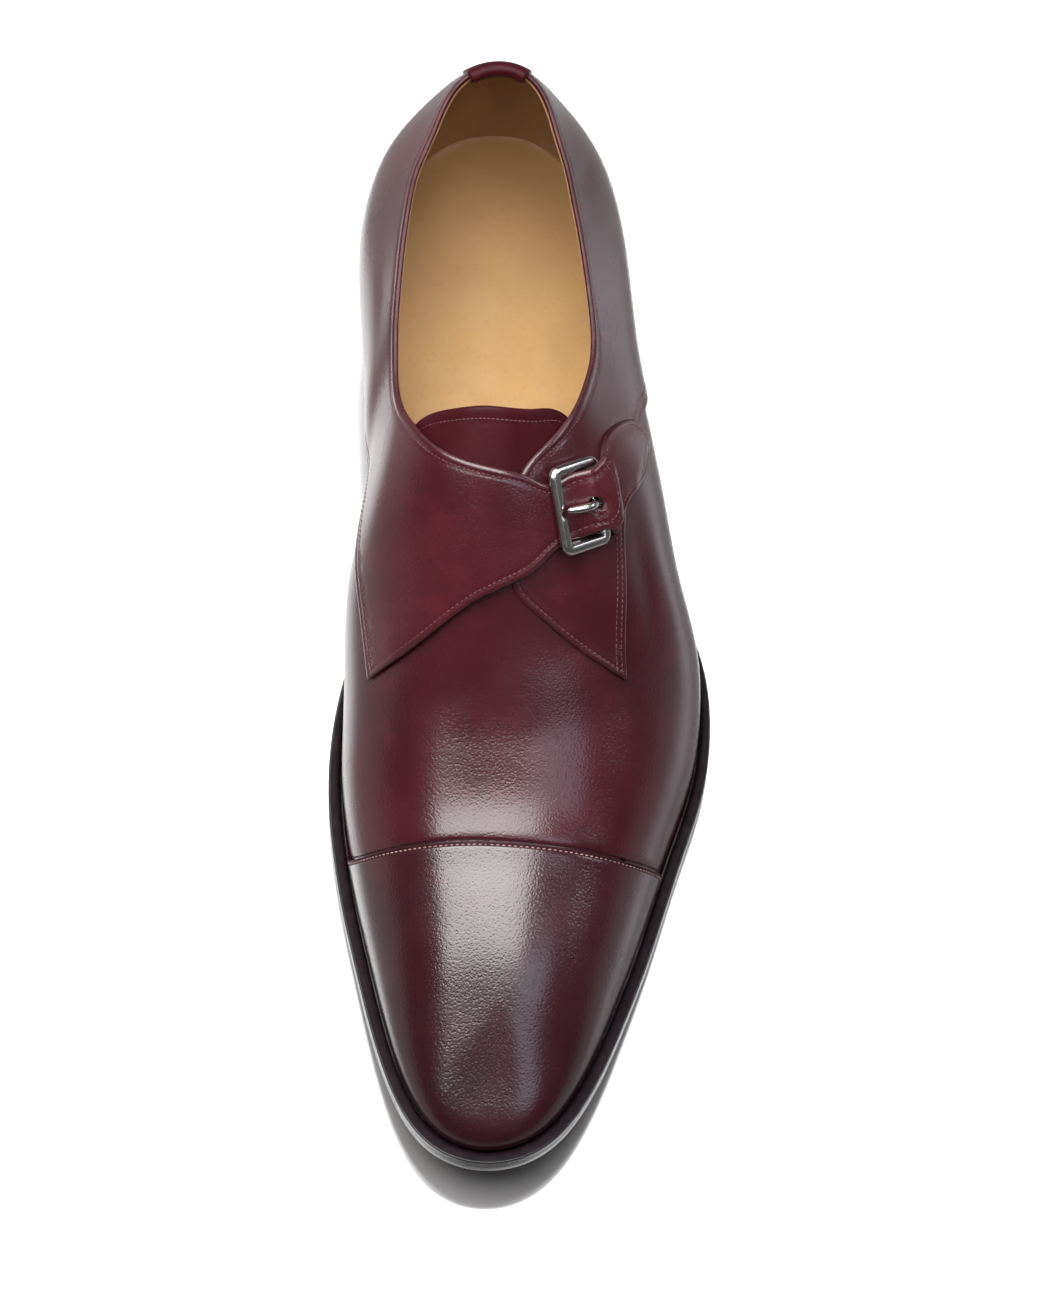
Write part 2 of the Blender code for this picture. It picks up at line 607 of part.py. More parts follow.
def make_upper(leather_material):
    """Vamp, toe cap and quarters as one hollow wall, open at the collar and underneath."""
    vamp = vamp_loop()
    cap = cap_loop()
    flap = flap_loop()

    def lifts(points, turn, girth):
        in_vamp = inside(points, vamp)
        in_cap = inside(points, cap)
        in_flap = inside(points, flap) & ~in_vamp
        high = np.where(in_vamp, np.where(in_cap, CAP_LEATHER, 0.0), QUARTER_LEATHER)
        low = np.where(in_flap, GAP, -WALL)
        lasted = 1 - smooth_step(edge_distance(turn, girth), 0.5, LASTED_HEIGHT)
        return low, high * (1 - lasted) + LASTED_EDGE * lasted

    lines = [offset(loop, way * STEP_BEVEL) for loop in (vamp, cap, flap) for way in (-1, 1)]
    girths = (0.965, 0.93, 0.88, 0.81, 0.73, 0.64, 0.54, 0.43, 0.31, 0.18, 0.06)
    seeds = lattice(6.5, girths, 3.6)
    verts, tris = leather(feather_loop(), [opening_loop()], lines, lifts, seeds, 2.2)
    return make_object("upper", verts, tris, leather_material)


def beside_bars(station, girth):
    """Girth share measured square to the buckle's bars, which lean a little across the foot."""
    return girth - BUCKLE_SLANT * (station - 133.0)


def strap_lift(station, girth):
    """Lift of the strap's underside: over the vamp, then the wing, the stay and the buckle's outer bar."""
    over_wing = (QUARTER_LEATHER + 0.1) * smooth_step(girth, -0.10, 0.05)
    across = beside_bars(station, girth)
    over_bar = 4.9 * smooth_step(across, 0.192, 0.270) - 2.6 * smooth_step(across, 0.336, 0.374)
    return GAP + 0.15 + over_wing + over_bar


def make_strap(leather_material):
    """The inner quarter's long arm: over the instep, under the buckle's inner bar and over its outer bar."""
    outline = join(trace(STRAP_TOP, 3.0), trace(STRAP_END, 3.0), trace(STRAP_LOW, 3.0), trace(STRAP_START, 4.0))
    hole_middle = flat(turn_at([STRAP_HOLE[0]]), np.array([STRAP_HOLE[1]]))[0]
    angles = np.linspace(0, 2 * math.pi, 8, endpoint=False)
    hole = hole_middle + 2.6 * np.stack([np.cos(angles), np.sin(angles)], axis=1)

    def lifts(points, turn, girth):
        low = strap_lift(station_of(turn), girth)
        full = QUARTER_LEATHER - GAP + (STRAP_LEATHER - QUARTER_LEATHER + GAP) * smooth_step(girth, -0.49, -0.36)
        return low, low + full

    girths = (0.335, 0.315, 0.29, 0.27, 0.25, 0.23, 0.21, 0.185, 0.15, 0.11, 0.07, 0.03, -0.03, -0.09, -0.16, -0.24,
              -0.33, -0.42)
    seeds = np.concatenate([flat(turn_at(np.arange(96.0, 172.0, 5.0)), np.full(16, g)) for g in girths])
    verts, tris = leather(outline, [hole], [], lifts, seeds, 1.3)
    return make_object("strap", verts, tris, leather_material)


def make_tongue(leather_material):
    """From under the vamp's edge up to the front of the opening, under the strap and the wing."""
    outline = join(trace(TONGUE_TOP), trace(TONGUE_OUTER), trace(TONGUE_FRONT), trace(TONGUE_INNER))

    def lifts(points, turn, girth):
        station = station_of(turn)
        tucked = smooth_step(station, 143.0, 151.5)
        beside = smooth_step(girth, 0.04, 0.12) * (1 - tucked)
        high = -(WALL + GAP + SLACK) * tucked - 0.7 * beside
        return high - TONGUE_LEATHER, high

    girths = (-0.29, -0.22, -0.15, -0.08, 0.0, 0.08, 0.16, 0.23)
    seeds = np.concatenate([flat(turn_at(np.arange(118.0, 161.0, 5.0)), np.full(9, g)) for g in girths])
    verts, tris = leather(outline, [], [], lifts, seeds, 1.8)
    return make_object("tongue", verts, tris, leather_material)


def make_stay(leather_material, bar_line):
    """The leaf sewn to the outer quarter, with two lugs that close round the buckle's outer bar."""
    edges = (STAY_EDGE, STAY_LUG_LOW, STAY_SLOT, STAY_LUG_TOP)
    outline = join(*(trace(rows, 2.2) for rows in edges))
    vamp = vamp_loop()

    def lifts(points, turn, girth):
        below = inside(points, vamp) * smooth_step(distance_to(points, vamp), 1.5, 6.5)
        low = QUARTER_LEATHER * (1 - below) + GAP
        lug = 1 - smooth_step(beside_bars(station_of(turn), girth), 0.322, 0.340)
        return low, low + STAY_LEATHER + (6.0 - GAP - QUARTER_LEATHER - STAY_LEATHER) * lug

    girths = (0.283, 0.296, 0.309, 0.322, 0.334, 0.346, 0.37, 0.41, 0.45, 0.50, 0.55)
    seeds = np.concatenate([flat(turn_at(np.arange(106.0, 140.0, 3.4)), np.full(10, g)) for g in girths])
    verts, tris = leather(outline, [], [], lifts, seeds, 0.9)
    leaf = make_object("stay", verts, tris, leather_material)
    middle, along = bar_line
    up = Vector((0, 0, 1)).rotation_difference(Vector(along))
    place = (Vector(middle) - Vector(BOX_MIDDLE)) * MM
    bpy.ops.mesh.primitive_cylinder_add(vertices=14, radius=1.3 * MM, depth=40 * MM, location=place)
    drill = bpy.context.object
    drill.rotation_mode = "QUATERNION"
    drill.rotation_quaternion = up
    bpy.context.view_layer.update()
    cut = leaf.modifiers.new("bar_hole", "BOOLEAN")
    cut.operation = "DIFFERENCE"
    cut.solver = "EXACT"
    cut.object = drill
    depsgraph = bpy.context.evaluated_depsgraph_get()
    drilled = bpy.data.meshes.new_from_object(leaf.evaluated_get(depsgraph))
    leaf.modifiers.clear()
    leaf.data = drilled
    bpy.data.objects.remove(drill, do_unlink=True)
    return leaf


def unit(vector):
    return vector / np.linalg.norm(vector)


def on_skin(station, girth, lift):
    return skin(turn_at([station]), np.array([girth]), np.array([lift]))[0]


def buckle_frame():
    """Middle of the buckle, and its directions along the bars, outward across the foot and up from the leather."""
    corners = np.array([on_skin(*corner) for corner in BUCKLE_CORNERS])
    middle = corners.mean(axis=0)
    along = unit(corners[1] - corners[0] + corners[2] - corners[3])
    across = corners[3] - corners[0] + corners[2] - corners[1]
    across = unit(across - along * (across @ along))
    return middle, along, across, np.cross(along, across)


def sweep(name, path, side, up, sizes, closed, item_material):
    """A rod with an eight-sided section along a path. Sizes are the width and thickness at each path point."""
    corners = np.array([(0.5, 0.22), (0.26, 0.5), (-0.26, 0.5), (-0.5, 0.22),
                        (-0.5, -0.22), (-0.26, -0.5), (0.26, -0.5), (0.5, -0.22)])
    verts = []
    for point, s, u, (wide, thick) in zip(path, side, up, sizes):
        for a, b in corners:
            verts.append(point + s * a * wide + u * b * thick)
    rows = len(path)
    faces = []
    for i in range(rows if closed else rows - 1):
        j = (i + 1) % rows
        for k in range(8):
            m = (k + 1) % 8
            a, b, c, d = i * 8 + k, i * 8 + m, j * 8 + m, j * 8 + k
            faces.append((a, b, c))
            faces.append((a, c, d))
    if not closed:
        faces.append(tuple(range(8))[::-1])
        faces.append(tuple(range(8 * (rows - 1), 8 * rows)))
    return make_object(name, verts, faces, item_material)


def make_buckle(metal):
    """A rectangular frame whose outer bar, under the strap, is a thin round rod."""
    middle, along, across, up = buckle_frame()
    half_long = BUCKLE_HALF_LONG - BAR_WIDE / 2
    half_wide = BUCKLE_HALF_WIDE - BAR_WIDE / 2
    round_off = 1.6
    path = []
    for x, y, start in ((1, 1, 0), (-1, 1, 90), (-1, -1, 180), (1, -1, 270)):
        for turn in (0, 45, 90):
            angle = math.radians(start + turn)
            path.append((x * (half_long - round_off) + round_off * math.cos(angle),
                         y * (half_wide - round_off) + round_off * math.sin(angle)))
        if y > 0 and x > 0:
            path += [(half_long - 2.6, half_wide), (-half_long + 2.6, half_wide)]
    path = np.array(path)
    sizes = np.tile((BAR_WIDE, BAR_THICK), (len(path), 1))
    sizes[3:5] = HINGE_ROD
    before = path - np.roll(path, 1, axis=0)
    after = np.roll(path, -1, axis=0) - path
    run = before / np.linalg.norm(before, axis=1)[:, None] + after / np.linalg.norm(after, axis=1)[:, None]
    run /= np.linalg.norm(run, axis=1)[:, None]
    points = middle + path[:, :1] * along + path[:, 1:] * across
    side = run[:, 1:] * along - run[:, :1] * across
    return sweep("buckle_frame", points, side, np.tile(up, (len(path), 1)), sizes, True, metal)


def make_prong(metal):
    """Looped round the outer bar, up through the strap's hole and down to the inner bar."""
    middle, along, across, up = buckle_frame()
    bar = middle + across * (BUCKLE_HALF_WIDE - BAR_WIDE / 2)
    path = []
    sizes = []
    for degrees in range(-150, 91, 30):
        angle = math.radians(degrees)
        path.append(bar + (across * math.cos(angle) + up * math.sin(angle)) * 1.6)
        sizes.append((2.0, 0.9))
    for station, girth, lift, wide, thick in (
        (133.9, 0.286, 6.1, 1.9, 1.0),
        (134.8, 0.266, 8.2, 1.9, 1.5),
        (135.5, 0.250, 9.3, 2.0, 1.8),
        (136.4, 0.231, 9.0, 2.1, 1.9),
        (137.1, 0.214, 8.0, 1.9, 1.7),
        (137.6, 0.201, 7.2, 1.1, 0.9),
    ):
        path.append(on_skin(station, girth, lift))
        sizes.append((wide, thick))
    path = np.array(path)
    run = np.gradient(path, axis=0)
    run /= np.linalg.norm(run, axis=1)[:, None]
    side = np.tile(along, (len(path), 1))
    side -= run * (run * side).sum(axis=1)[:, None]
    side /= np.linalg.norm(side, axis=1)[:, None]
    return sweep("prong", path, side, np.cross(run, side), sizes, False, metal)


def make_heel_tab(leather_material):
    """A short strip folded over the collar's edge at the back."""
    spread = np.linspace(-1, 1, 9) * TAB_SPREAD
    edge = 0.462
    unit_girth = 1 / 119.0
    rim = QUARTER_LEATHER + GAP
    inner = -WALL - GAP
    top = edge - GAP * unit_girth
    thick = 1.3
    fold = (
        (edge + 14 * unit_girth, rim), (edge + 7 * unit_girth, rim), (edge + 2 * unit_girth, rim), (top, rim),
        (top, inner), (edge + 3 * unit_girth, inner), (edge + 9 * unit_girth, inner),
        (edge + 9 * unit_girth, inner - thick), (edge + 3 * unit_girth, inner - thick),
        (top - 0.3 * unit_girth, inner - thick), (top - thick * unit_girth, inner),
        (top - thick * unit_girth, rim), (top - 0.3 * unit_girth, rim + thick),
        (edge + 7 * unit_girth, rim + thick), (edge + 14 * unit_girth, rim + thick),
    )
    verts = []
    for s in spread:
        side = 1.0 if s > 0 else -1.0
        for girth, lift in fold:
            verts.append(skin(np.array([abs(s)]), np.array([side * girth]), np.array([lift]))[0])
    n = len(fold)
    faces = []
    for i in range(len(spread) - 1):
        for k in range(n):
            m = (k + 1) % n
            a, b, c, d = i * n + k, i * n + m, (i + 1) * n + m, (i + 1) * n + k
            faces.append((a, b, c))
            faces.append((a, c, d))
    faces.append(tuple(range(n))[::-1])
    faces.append(tuple(range(n * (len(spread) - 1), n * len(spread))))
    return make_object("heel_tab", verts, faces, leather_material)


def sole_edge(extra):
    """A reach that follows the edge rows."""
    return lambda side, turns: EDGE_OUT[side > 0](turns) + extra


def level(distance):
    """The same reach all round."""
    return lambda side, turns: 0 * turns + distance


def beside_upper(side, turns):
    """A reach that clears the upper's lowest few millimetres."""
    foot = last_point(turns, np.full(len(turns), float(side)))
    _, _, _, outward = rib(turns, np.full(len(turns), side))
    length = edge_distance(turns, np.zeros(len(turns)) + side * 1e-6)
    reach = np.full(len(turns), LASTED_EDGE)
    for up in (0.8, 1.6, 2.4, 3.2):
        high = (QUARTER_LEATHER - LASTED_EDGE) * smooth_step(up, 0.5, LASTED_HEIGHT) + LASTED_EDGE
        point = skin(turns, side * (1 - up / length), high)
        reach = np.maximum(reach, ((point - foot)[:, :2] * outward).sum(axis=1))
    return reach + GAP


def sole_loop(reach, count=44):
    """Outline points round the bottom, standing out from the feather line by a reach. The first half runs down the
    outer side from the back to the toe, the second down the inner side."""
    turns = np.linspace(0, 1, count + 1)
    rows = []
    for side in (1, -1):
        foot = last_point(turns, np.full(count + 1, float(side)))[:, :2]
        along = np.gradient(foot, axis=0)
        normal = np.stack([along[:, 1], -along[:, 0]], axis=1) * -side
        normal[0] = (0, 1)
        normal[-1] = (0, -1)
        normal /= np.linalg.norm(normal, axis=1)[:, None]
        rows.append(foot + normal * reach(side, turns)[:, None])
    return rows[0], rows[1]


def lens(outer, inner, height, across=6):
    """Rows of points between the two sides of an outline, with their height."""
    shares = np.linspace(0, 1, across + 1)
    grid = inner[:, None] * (1 - shares)[None, :, None] + outer[:, None] * shares[None, :, None]
    z = height(ORIGIN_STATION - grid[..., 1])
    return np.concatenate([grid, z[..., None]], axis=2)


def plate(name, rings, item_material, across=4):
    """A closed plate: rings from the bottom up, each an outline (outer side, inner side) and a height function."""
    verts = []
    faces = []

    def add(point):
        verts.append(tuple(point))
        return len(verts) - 1

    def add_ring(ring):
        (outer, inner), height = ring
        n = len(outer)
        loop = [outer[i] for i in range(n)] + [inner[i] for i in range(n - 2, 0, -1)]
        return [add((*p, float(height(ORIGIN_STATION - p[1])))) for p in loop]

    loops = [add_ring(ring) for ring in rings]
    size = len(loops[0])
    for low, high in zip(loops[:-1], loops[1:]):
        for i in range(size):
            j = (i + 1) % size
            faces.append((low[i], low[j], high[j]))
            faces.append((low[i], high[j], high[i]))
    for ring, loop, upward in ((rings[0], loops[0], False), (rings[-1], loops[-1], True)):
        (outer, inner), height = ring
        n = len(outer)
        grid = lens(outer, inner, height, across)
        rows = []
        for i in range(n):
            if i in (0, n - 1):
                rows.append([loop[i]] * (across + 1))
                continue
            rows.append([loop[size - i]] + [add(grid[i, j]) for j in range(1, across)] + [loop[i]])
        for a, b in zip(rows[:-1], rows[1:]):
            for j in range(across):
                for face in ((a[j], a[j + 1], b[j + 1]), (a[j], b[j + 1], b[j])):
                    if len(set(face)) == 3:
                        faces.append(face if upward else face[::-1])
    return make_object(name, verts, faces, item_material)


def make_outsole(item_material):
    rings = [
        (sole_loop(sole_edge(-0.9)), tread_z),
        (sole_loop(sole_edge(0.0)), lambda s: tread_z(s) + 1.0),
        (sole_loop(sole_edge(0.0)), lambda s: bed_z(s) - 0.8),
        (sole_loop(sole_edge(-0.5)), bed_z),
    ]
    return plate("outsole", rings, item_material)


def make_insole(item_material):
    edge = -(WALL + GAP + 0.2)
    rings = [
        (sole_loop(level(edge)), lambda s: bed_z(s) + GAP),
        (sole_loop(level(edge)), lambda s: bed_z(s) + GAP + INSOLE - 0.6),
        (sole_loop(level(edge - 0.6)), lambda s: bed_z(s) + GAP + INSOLE),
    ]
    return plate("insole", rings, item_material)


def make_welt(item_material):
    """A strip all round on top of the outsole, outside the upper's lasted edge."""
    rings = [
        (sole_loop(beside_upper), lambda s: bed_z(s) + GAP),
        (sole_loop(sole_edge(-0.3)), lambda s: bed_z(s) + GAP),
        (sole_loop(sole_edge(0.0)), lambda s: bed_z(s) + GAP + 0.6),
        (sole_loop(sole_edge(0.0)), lambda s: bed_z(s) + GAP + WELT - 0.7),
        (sole_loop(sole_edge(-0.5)), lambda s: bed_z(s) + GAP + WELT),
        (sole_loop(beside_upper), lambda s: bed_z(s) + GAP + WELT),
    ]
    verts = []
    for (outer, inner), height in rings:
        n = len(outer)
        for p in list(outer) + [inner[i] for i in range(n - 2, 0, -1)]:
            verts.append((*p, float(height(ORIGIN_STATION - p[1]))))
    size = len(verts) // len(rings)
    faces = []
    for k in range(len(rings)):
        low = k * size
        high = ((k + 1) % len(rings)) * size
        for i in range(size):
            j = (i + 1) % size
            faces.append((low + i, low + j, high + j))
            faces.append((low + i, high + j, high + i))
    return make_object("welt", verts, faces, item_material)


def heel_loop(inset, breast):
    """The heel's outline: the sole's edge from the breast round the back, and a slightly hollow breast."""
    outer, inner = sole_loop(sole_edge(-inset), 140)
    rim = []
    for line in (inner, outer):
        stations = ORIGIN_STATION - line[:, 1]
        keep = line[stations < breast - 1.5]
        x = np.interp(breast, stations, line[:, 0])
        rim.append(np.concatenate([keep, [(x, ORIGIN_STATION - breast)]]))
    back = np.concatenate([rim[0][::-1], rim[1][1:]])
    keep = [back[0]]
    for p in back[1:-1]:
        if np.linalg.norm(p - keep[-1]) > 4.0 and np.linalg.norm(p - back[-1]) > 2.5:
            keep.append(p)
    keep.append(back[-1])
    shares = np.linspace(0, 1, 9)[1:-1]
    front = [keep[-1] * (1 - t) + keep[0] * t + np.array((0, 3.0 * 4 * t * (1 - t))) for t in shares]
    return np.array(keep), np.array(front)


def heel_part(name, bottom, top, low_inset, high_inset, item_material):
    back_low, front_low = heel_loop(low_inset, HEEL_BREAST - low_inset * 0.6)
    back_high, front_high = heel_loop(high_inset, HEEL_BREAST - high_inset * 0.6)
    count = min(len(back_low), len(back_high))

    def even(line):
        steps = np.concatenate([[0], np.cumsum(np.linalg.norm(np.diff(line, axis=0), axis=1))])
        at = np.linspace(0, steps[-1], count)
        return np.stack([np.interp(at, steps, line[:, i]) for i in (0, 1)], axis=1)

    low = np.concatenate([even(back_low), front_low])
    high = np.concatenate([even(back_high), front_high])
    size = len(low)
    verts = [(*p, bottom) for p in low] + [(*p, top) for p in high]
    faces = []
    for i in range(size):
        j = (i + 1) % size
        faces.append((i, j, size + j))
        faces.append((i, size + j, size + i))
    faces.append(tuple(range(size))[::-1])
    faces.append(tuple(range(size, 2 * size)))
    return make_object(name, verts, faces, item_material)


def clear_scene():
    for item in list(bpy.data.objects):
        bpy.data.objects.remove(item, do_unlink=True)


def build():
    clear_scene()
    calf = material("burgundy_calf", (0.085, 0.012, 0.018), 0.3)
    strap_calf = material("burgundy_calf_strap", (0.11, 0.016, 0.022), 0.3)
    edge = material("black_edge", (0.012, 0.011, 0.012), 0.35)
    tan = material("tan_lining", (0.56, 0.33, 0.14), 0.55)
    sole = material("sole_leather", (0.02, 0.017, 0.016), 0.5)
    rubber = material("rubber", (0.015, 0.015, 0.015), 0.6)
    nickel = material("nickel", (0.62, 0.6, 0.58), 0.2, 1.0)
    make_outsole(sole)
    make_welt(edge)
    heel_part("top_lift", 0.0, TOP_LIFT, HEEL_TAPER, HEEL_TAPER - 0.4, rubber)
    heel_part("heel_stack", TOP_LIFT + GAP, HEEL_HEIGHT - GAP, HEEL_TAPER - 0.4, 0.4, edge)
    make_insole(tan)
    make_upper(calf)
    make_tongue(calf)
    make_strap(strap_calf)
    middle, along, across, _ = buckle_frame()
    make_stay(strap_calf, (middle + across * (BUCKLE_HALF_WIDE - BAR_WIDE / 2), along))
    make_buckle(nickel)
    make_prong(nickel)
    make_heel_tab(strap_calf)


build()
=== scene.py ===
"""The look of a left cap-toe monk-strap shoe in burgundy calf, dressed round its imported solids.

The shapes are worked out again here from the same named sizes as the solids, with more detail: each layer of
leather is a sheet of its own with rounded edges, and seams, stitches and soft creases are added. Sizes are in
millimetres and become metres when a mesh is made. +Z is up, the toe points along -Y and +X is the outer side.
A place along the shoe is its station, the distance from the back of the sole. A place on the upper is a station
and a girth share: 0 on the ridge of the instep, -1 on the feather line of the inner side and +1 on the outer.
"""

import json
import math

import bpy
import bmesh
import numpy as np
from mathutils import Matrix, Vector
from mathutils.geometry import delaunay_2d_cdt

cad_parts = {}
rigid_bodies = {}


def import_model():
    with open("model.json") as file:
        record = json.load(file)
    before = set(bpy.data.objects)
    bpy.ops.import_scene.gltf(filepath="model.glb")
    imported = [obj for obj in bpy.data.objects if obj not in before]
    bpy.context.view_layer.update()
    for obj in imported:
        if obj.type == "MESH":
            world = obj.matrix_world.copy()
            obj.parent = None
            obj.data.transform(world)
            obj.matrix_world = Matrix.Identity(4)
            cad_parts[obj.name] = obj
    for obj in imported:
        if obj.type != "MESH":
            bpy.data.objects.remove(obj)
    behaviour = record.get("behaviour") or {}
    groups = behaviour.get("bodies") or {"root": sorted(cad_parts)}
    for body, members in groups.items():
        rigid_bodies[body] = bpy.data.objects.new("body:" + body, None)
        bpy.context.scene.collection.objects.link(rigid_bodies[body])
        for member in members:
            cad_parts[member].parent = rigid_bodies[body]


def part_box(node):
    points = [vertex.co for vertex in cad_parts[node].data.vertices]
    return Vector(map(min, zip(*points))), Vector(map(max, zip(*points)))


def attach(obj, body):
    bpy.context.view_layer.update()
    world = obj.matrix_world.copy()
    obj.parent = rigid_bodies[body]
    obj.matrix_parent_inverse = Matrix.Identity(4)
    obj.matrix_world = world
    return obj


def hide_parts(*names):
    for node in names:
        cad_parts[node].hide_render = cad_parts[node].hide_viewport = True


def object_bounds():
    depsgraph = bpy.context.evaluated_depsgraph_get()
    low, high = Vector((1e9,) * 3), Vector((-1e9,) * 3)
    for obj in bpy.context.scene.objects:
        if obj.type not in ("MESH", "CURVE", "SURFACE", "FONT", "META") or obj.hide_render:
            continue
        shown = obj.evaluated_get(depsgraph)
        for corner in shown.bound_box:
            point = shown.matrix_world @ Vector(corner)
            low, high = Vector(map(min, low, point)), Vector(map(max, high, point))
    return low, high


MM = 0.001

# Driving sizes
SOLE_LENGTH = 302.0
BALL_WIDTH = 105.0
INSTEP_HEIGHT = 100.0
HEEL_HEIGHT = 23.0
TOE_SPRING = 14.0

# Thicknesses and gaps
GAP = 0.3
SLACK = 0.5
WALL = 1.5
LINING_TOP = -0.45
QUARTER_LEATHER = 1.2
CAP_LEATHER = 1.0
LASTED_EDGE = 1.0
LASTED_START = 0.5
LASTED_HEIGHT = 4.0
HIDDEN_LOW = -0.4
STRAP_LEATHER = 1.9
STAY_LEATHER = 1.2
TONGUE_LEATHER = 1.8
OUTSOLE = 5.0
WELT = 2.4
INSOLE = 3.0
TOP_LIFT = 6.0

# Along the shoe
LAST_BACK = 2.4
LAST_TIP = 297.0
LAST_LENGTH = LAST_TIP - LAST_BACK
HEEL_FAN = 50.0
TOE_FAN = 262.0
FAN_SOFTNESS = 9.0
BALL_STATION = 197.0
SPRING_START = 211.0
SPRING_POWER = 1.8
SEAT_END = 77.0
HEEL_BREAST = 76.0
HEEL_TAPER = 1.6
STACK_LEAN = 0.4
LIFTS = 4
LIFT_EASE = 0.22
LIFT_CUT = 0.16
BREAST_HOLLOW = 3.0
TOE_SWING = 2.6
TOE_SLOPE = -0.32
ORIGIN_STATION = SOLE_LENGTH / 2

FEATHER_LINE = (
    # station, inner, outer
    (0.000, 0.000, 0.000),
    (0.012, 0.132, 0.122),
    (0.045, 0.234, 0.216),
    (0.100, 0.296, 0.276),
    (0.160, 0.310, 0.302),
    (0.240, 0.285, 0.322),
    (0.330, 0.237, 0.352),
    (0.400, 0.240, 0.394),
    (0.465, 0.304, 0.448),
    (0.520, 0.358, 0.503),
    (0.573, 0.391, 0.517),
    (0.630, 0.401, 0.497),
    (0.700, 0.386, 0.434),
    (0.775, 0.351, 0.366),
    (0.850, 0.301, 0.297),
    (0.910, 0.246, 0.241),
    (0.955, 0.187, 0.185),
    (0.985, 0.118, 0.118),
    (1.000, 0.000, 0.000),
)
WALL_ROWS = (
    # station, inner_out, outer_out, inner_rise, outer_rise, inner_neck_in, outer_neck_in, neck_rise
    (0.000, 3.0, 3.0, 21.0, 21.0, 6.8, 6.8, 62.0),
    (0.012, 3.1, 3.0, 21.3, 21.3, 8.8, 8.8, 60.5),
    (0.040, 3.4, 3.0, 22.0, 22.0, 12.4, 13.2, 57.0),
    (0.100, 4.0, 3.0, 23.0, 23.0, 10.0, 12.4, 55.0),
    (0.180, 5.0, 3.0, 24.0, 23.0, 5.5, 9.5, 53.5),
    (0.260, 7.6, 3.6, 26.0, 22.0, 2.0, 10.0, 54.5),
    (0.330, 10.5, 4.8, 27.0, 22.0, -1.0, 12.5, 58.0),
    (0.400, 10.5, 4.4, 25.0, 21.0, -2.0, 13.0, 61.0),
    (0.465, 8.9, 3.0, 22.0, 18.0, 1.5, 15.5, 57.5),
    (0.520, 4.8, 1.8, 17.5, 15.0, 7.5, 17.0, 52.0),
    (0.573, 1.8, 1.2, 14.0, 13.0, 11.0, 17.5, 46.5),
    (0.630, 1.2, 1.0, 12.5, 12.0, 12.5, 16.5, 41.8),
    (0.700, 0.8, 0.8, 11.0, 10.5, 12.5, 14.0, 36.3),
    (0.775, 0.5, 0.5, 9.5, 9.0, 10.5, 11.5, 30.3),
    (0.850, 0.3, 0.3, 8.5, 8.0, 8.5, 9.0, 23.8),
    (0.930, 0.2, 0.2, 6.2, 6.2, 8.0, 8.2, 16.4),
    (1.000, 0.2, 0.2, 3.6, 3.6, 9.0, 9.0, 9.9),
)
RIDGE_ROWS = (
    # station share of the sole, height, sideways
    (0.150, 1.300, -1.0),
    (0.260, 1.240, -2.0),
    (0.340, 1.130, -3.0),
    (0.400, 1.030, -4.0),
    (0.450, 0.945, -4.5),
    (0.515, 0.810, -5.0),
    (0.580, 0.675, -5.0),
    (0.650, 0.565, -5.0),
    (0.720, 0.490, -4.5),
    (0.760, 0.466, -3.8),
    (0.790, 0.446, -3.0),
    (0.830, 0.415, -1.7),
    (0.870, 0.376, -0.5),
)
EDGE_ROWS = (
    # station share of the last, inner, outer
    (0.000, 3.0, 3.0),
    (0.200, 3.4, 3.0),
    (0.330, 4.2, 3.0),
    (0.400, 4.4, 3.2),
    (0.460, 4.0, 3.6),
    (0.540, 4.2, 4.2),
    (0.620, 4.8, 4.7),
    (0.800, 5.2, 5.1),
    (1.000, 5.0, 5.0),
)

# Pattern lines, as (station in millimetres, girth share) knots.
COLLAR_OUTER = ((LAST_BACK, 0.462), (6.0, 0.466), (12.0, 0.470), (28.0, 0.466), (50.0, 0.452), (67.0, 0.453),
                (79.0, 0.452), (88.0, 0.436), (101.0, 0.357), (115.0, 0.240), (123.0, 0.163), (131.0, 0.093),
                (142.0, 0.066), (153.0, 0.068))
THROAT_END = ((153.0, 0.068), (154.0, -0.100), (153.0, -0.360))
THROAT_INNER = ((153.0, -0.360), (130.0, -0.364), (113.0, -0.374), (101.0, -0.425), (92.0, -0.457))
COLLAR_INNER = ((92.0, -0.457), (83.0, -0.474), (70.0, -0.476), (52.0, -0.464), (35.0, -0.466), (14.0, -0.470),
                (6.0, -0.466), (LAST_BACK, -0.462))
QUARTER_OUTER = ((72.0, 1.060), (80.0, 0.930), (86.0, 0.840), (92.0, 0.750), (103.0, 0.605), (115.0, 0.510),
                 (131.0, 0.432), (151.0, 0.414), (165.0, 0.415), (175.0, 0.430))
WING_FRONT = ((175.0, 0.430), (169.3, 0.258), (162.4, 0.133), (157.6, 0.078), (153.0, 0.068))
QUARTER_INNER = ((171.5, -0.498), (162.0, -0.512), (150.0, -0.524), (141.0, -0.536), (130.0, -0.555),
                 (118.0, -0.605), (107.0, -0.690), (98.0, -0.800), (90.0, -0.930), (84.0, -1.060))
CAP_SEAM = ((203.0, -1.080), (209.5, -0.950), (214.0, -0.800), (217.5, -0.500), (218.8, -0.250), (219.6, 0.000),
            (220.4, 0.300), (220.2, 0.600), (217.5, 0.850), (213.0, 1.080))
STRAP_TOP = ((94.0, -0.445), (106.0, -0.366), (113.5, -0.285), (119.0, -0.220), (124.0, -0.150), (128.2, -0.056),
             (130.4, 0.050), (131.6, 0.115), (132.6, 0.155), (129.0, 0.212), (126.0, 0.262), (122.6, 0.292))
STRAP_END = ((122.6, 0.292), (124.8, 0.322), (129.5, 0.347), (134.0, 0.356), (138.0, 0.345), (140.2, 0.322))
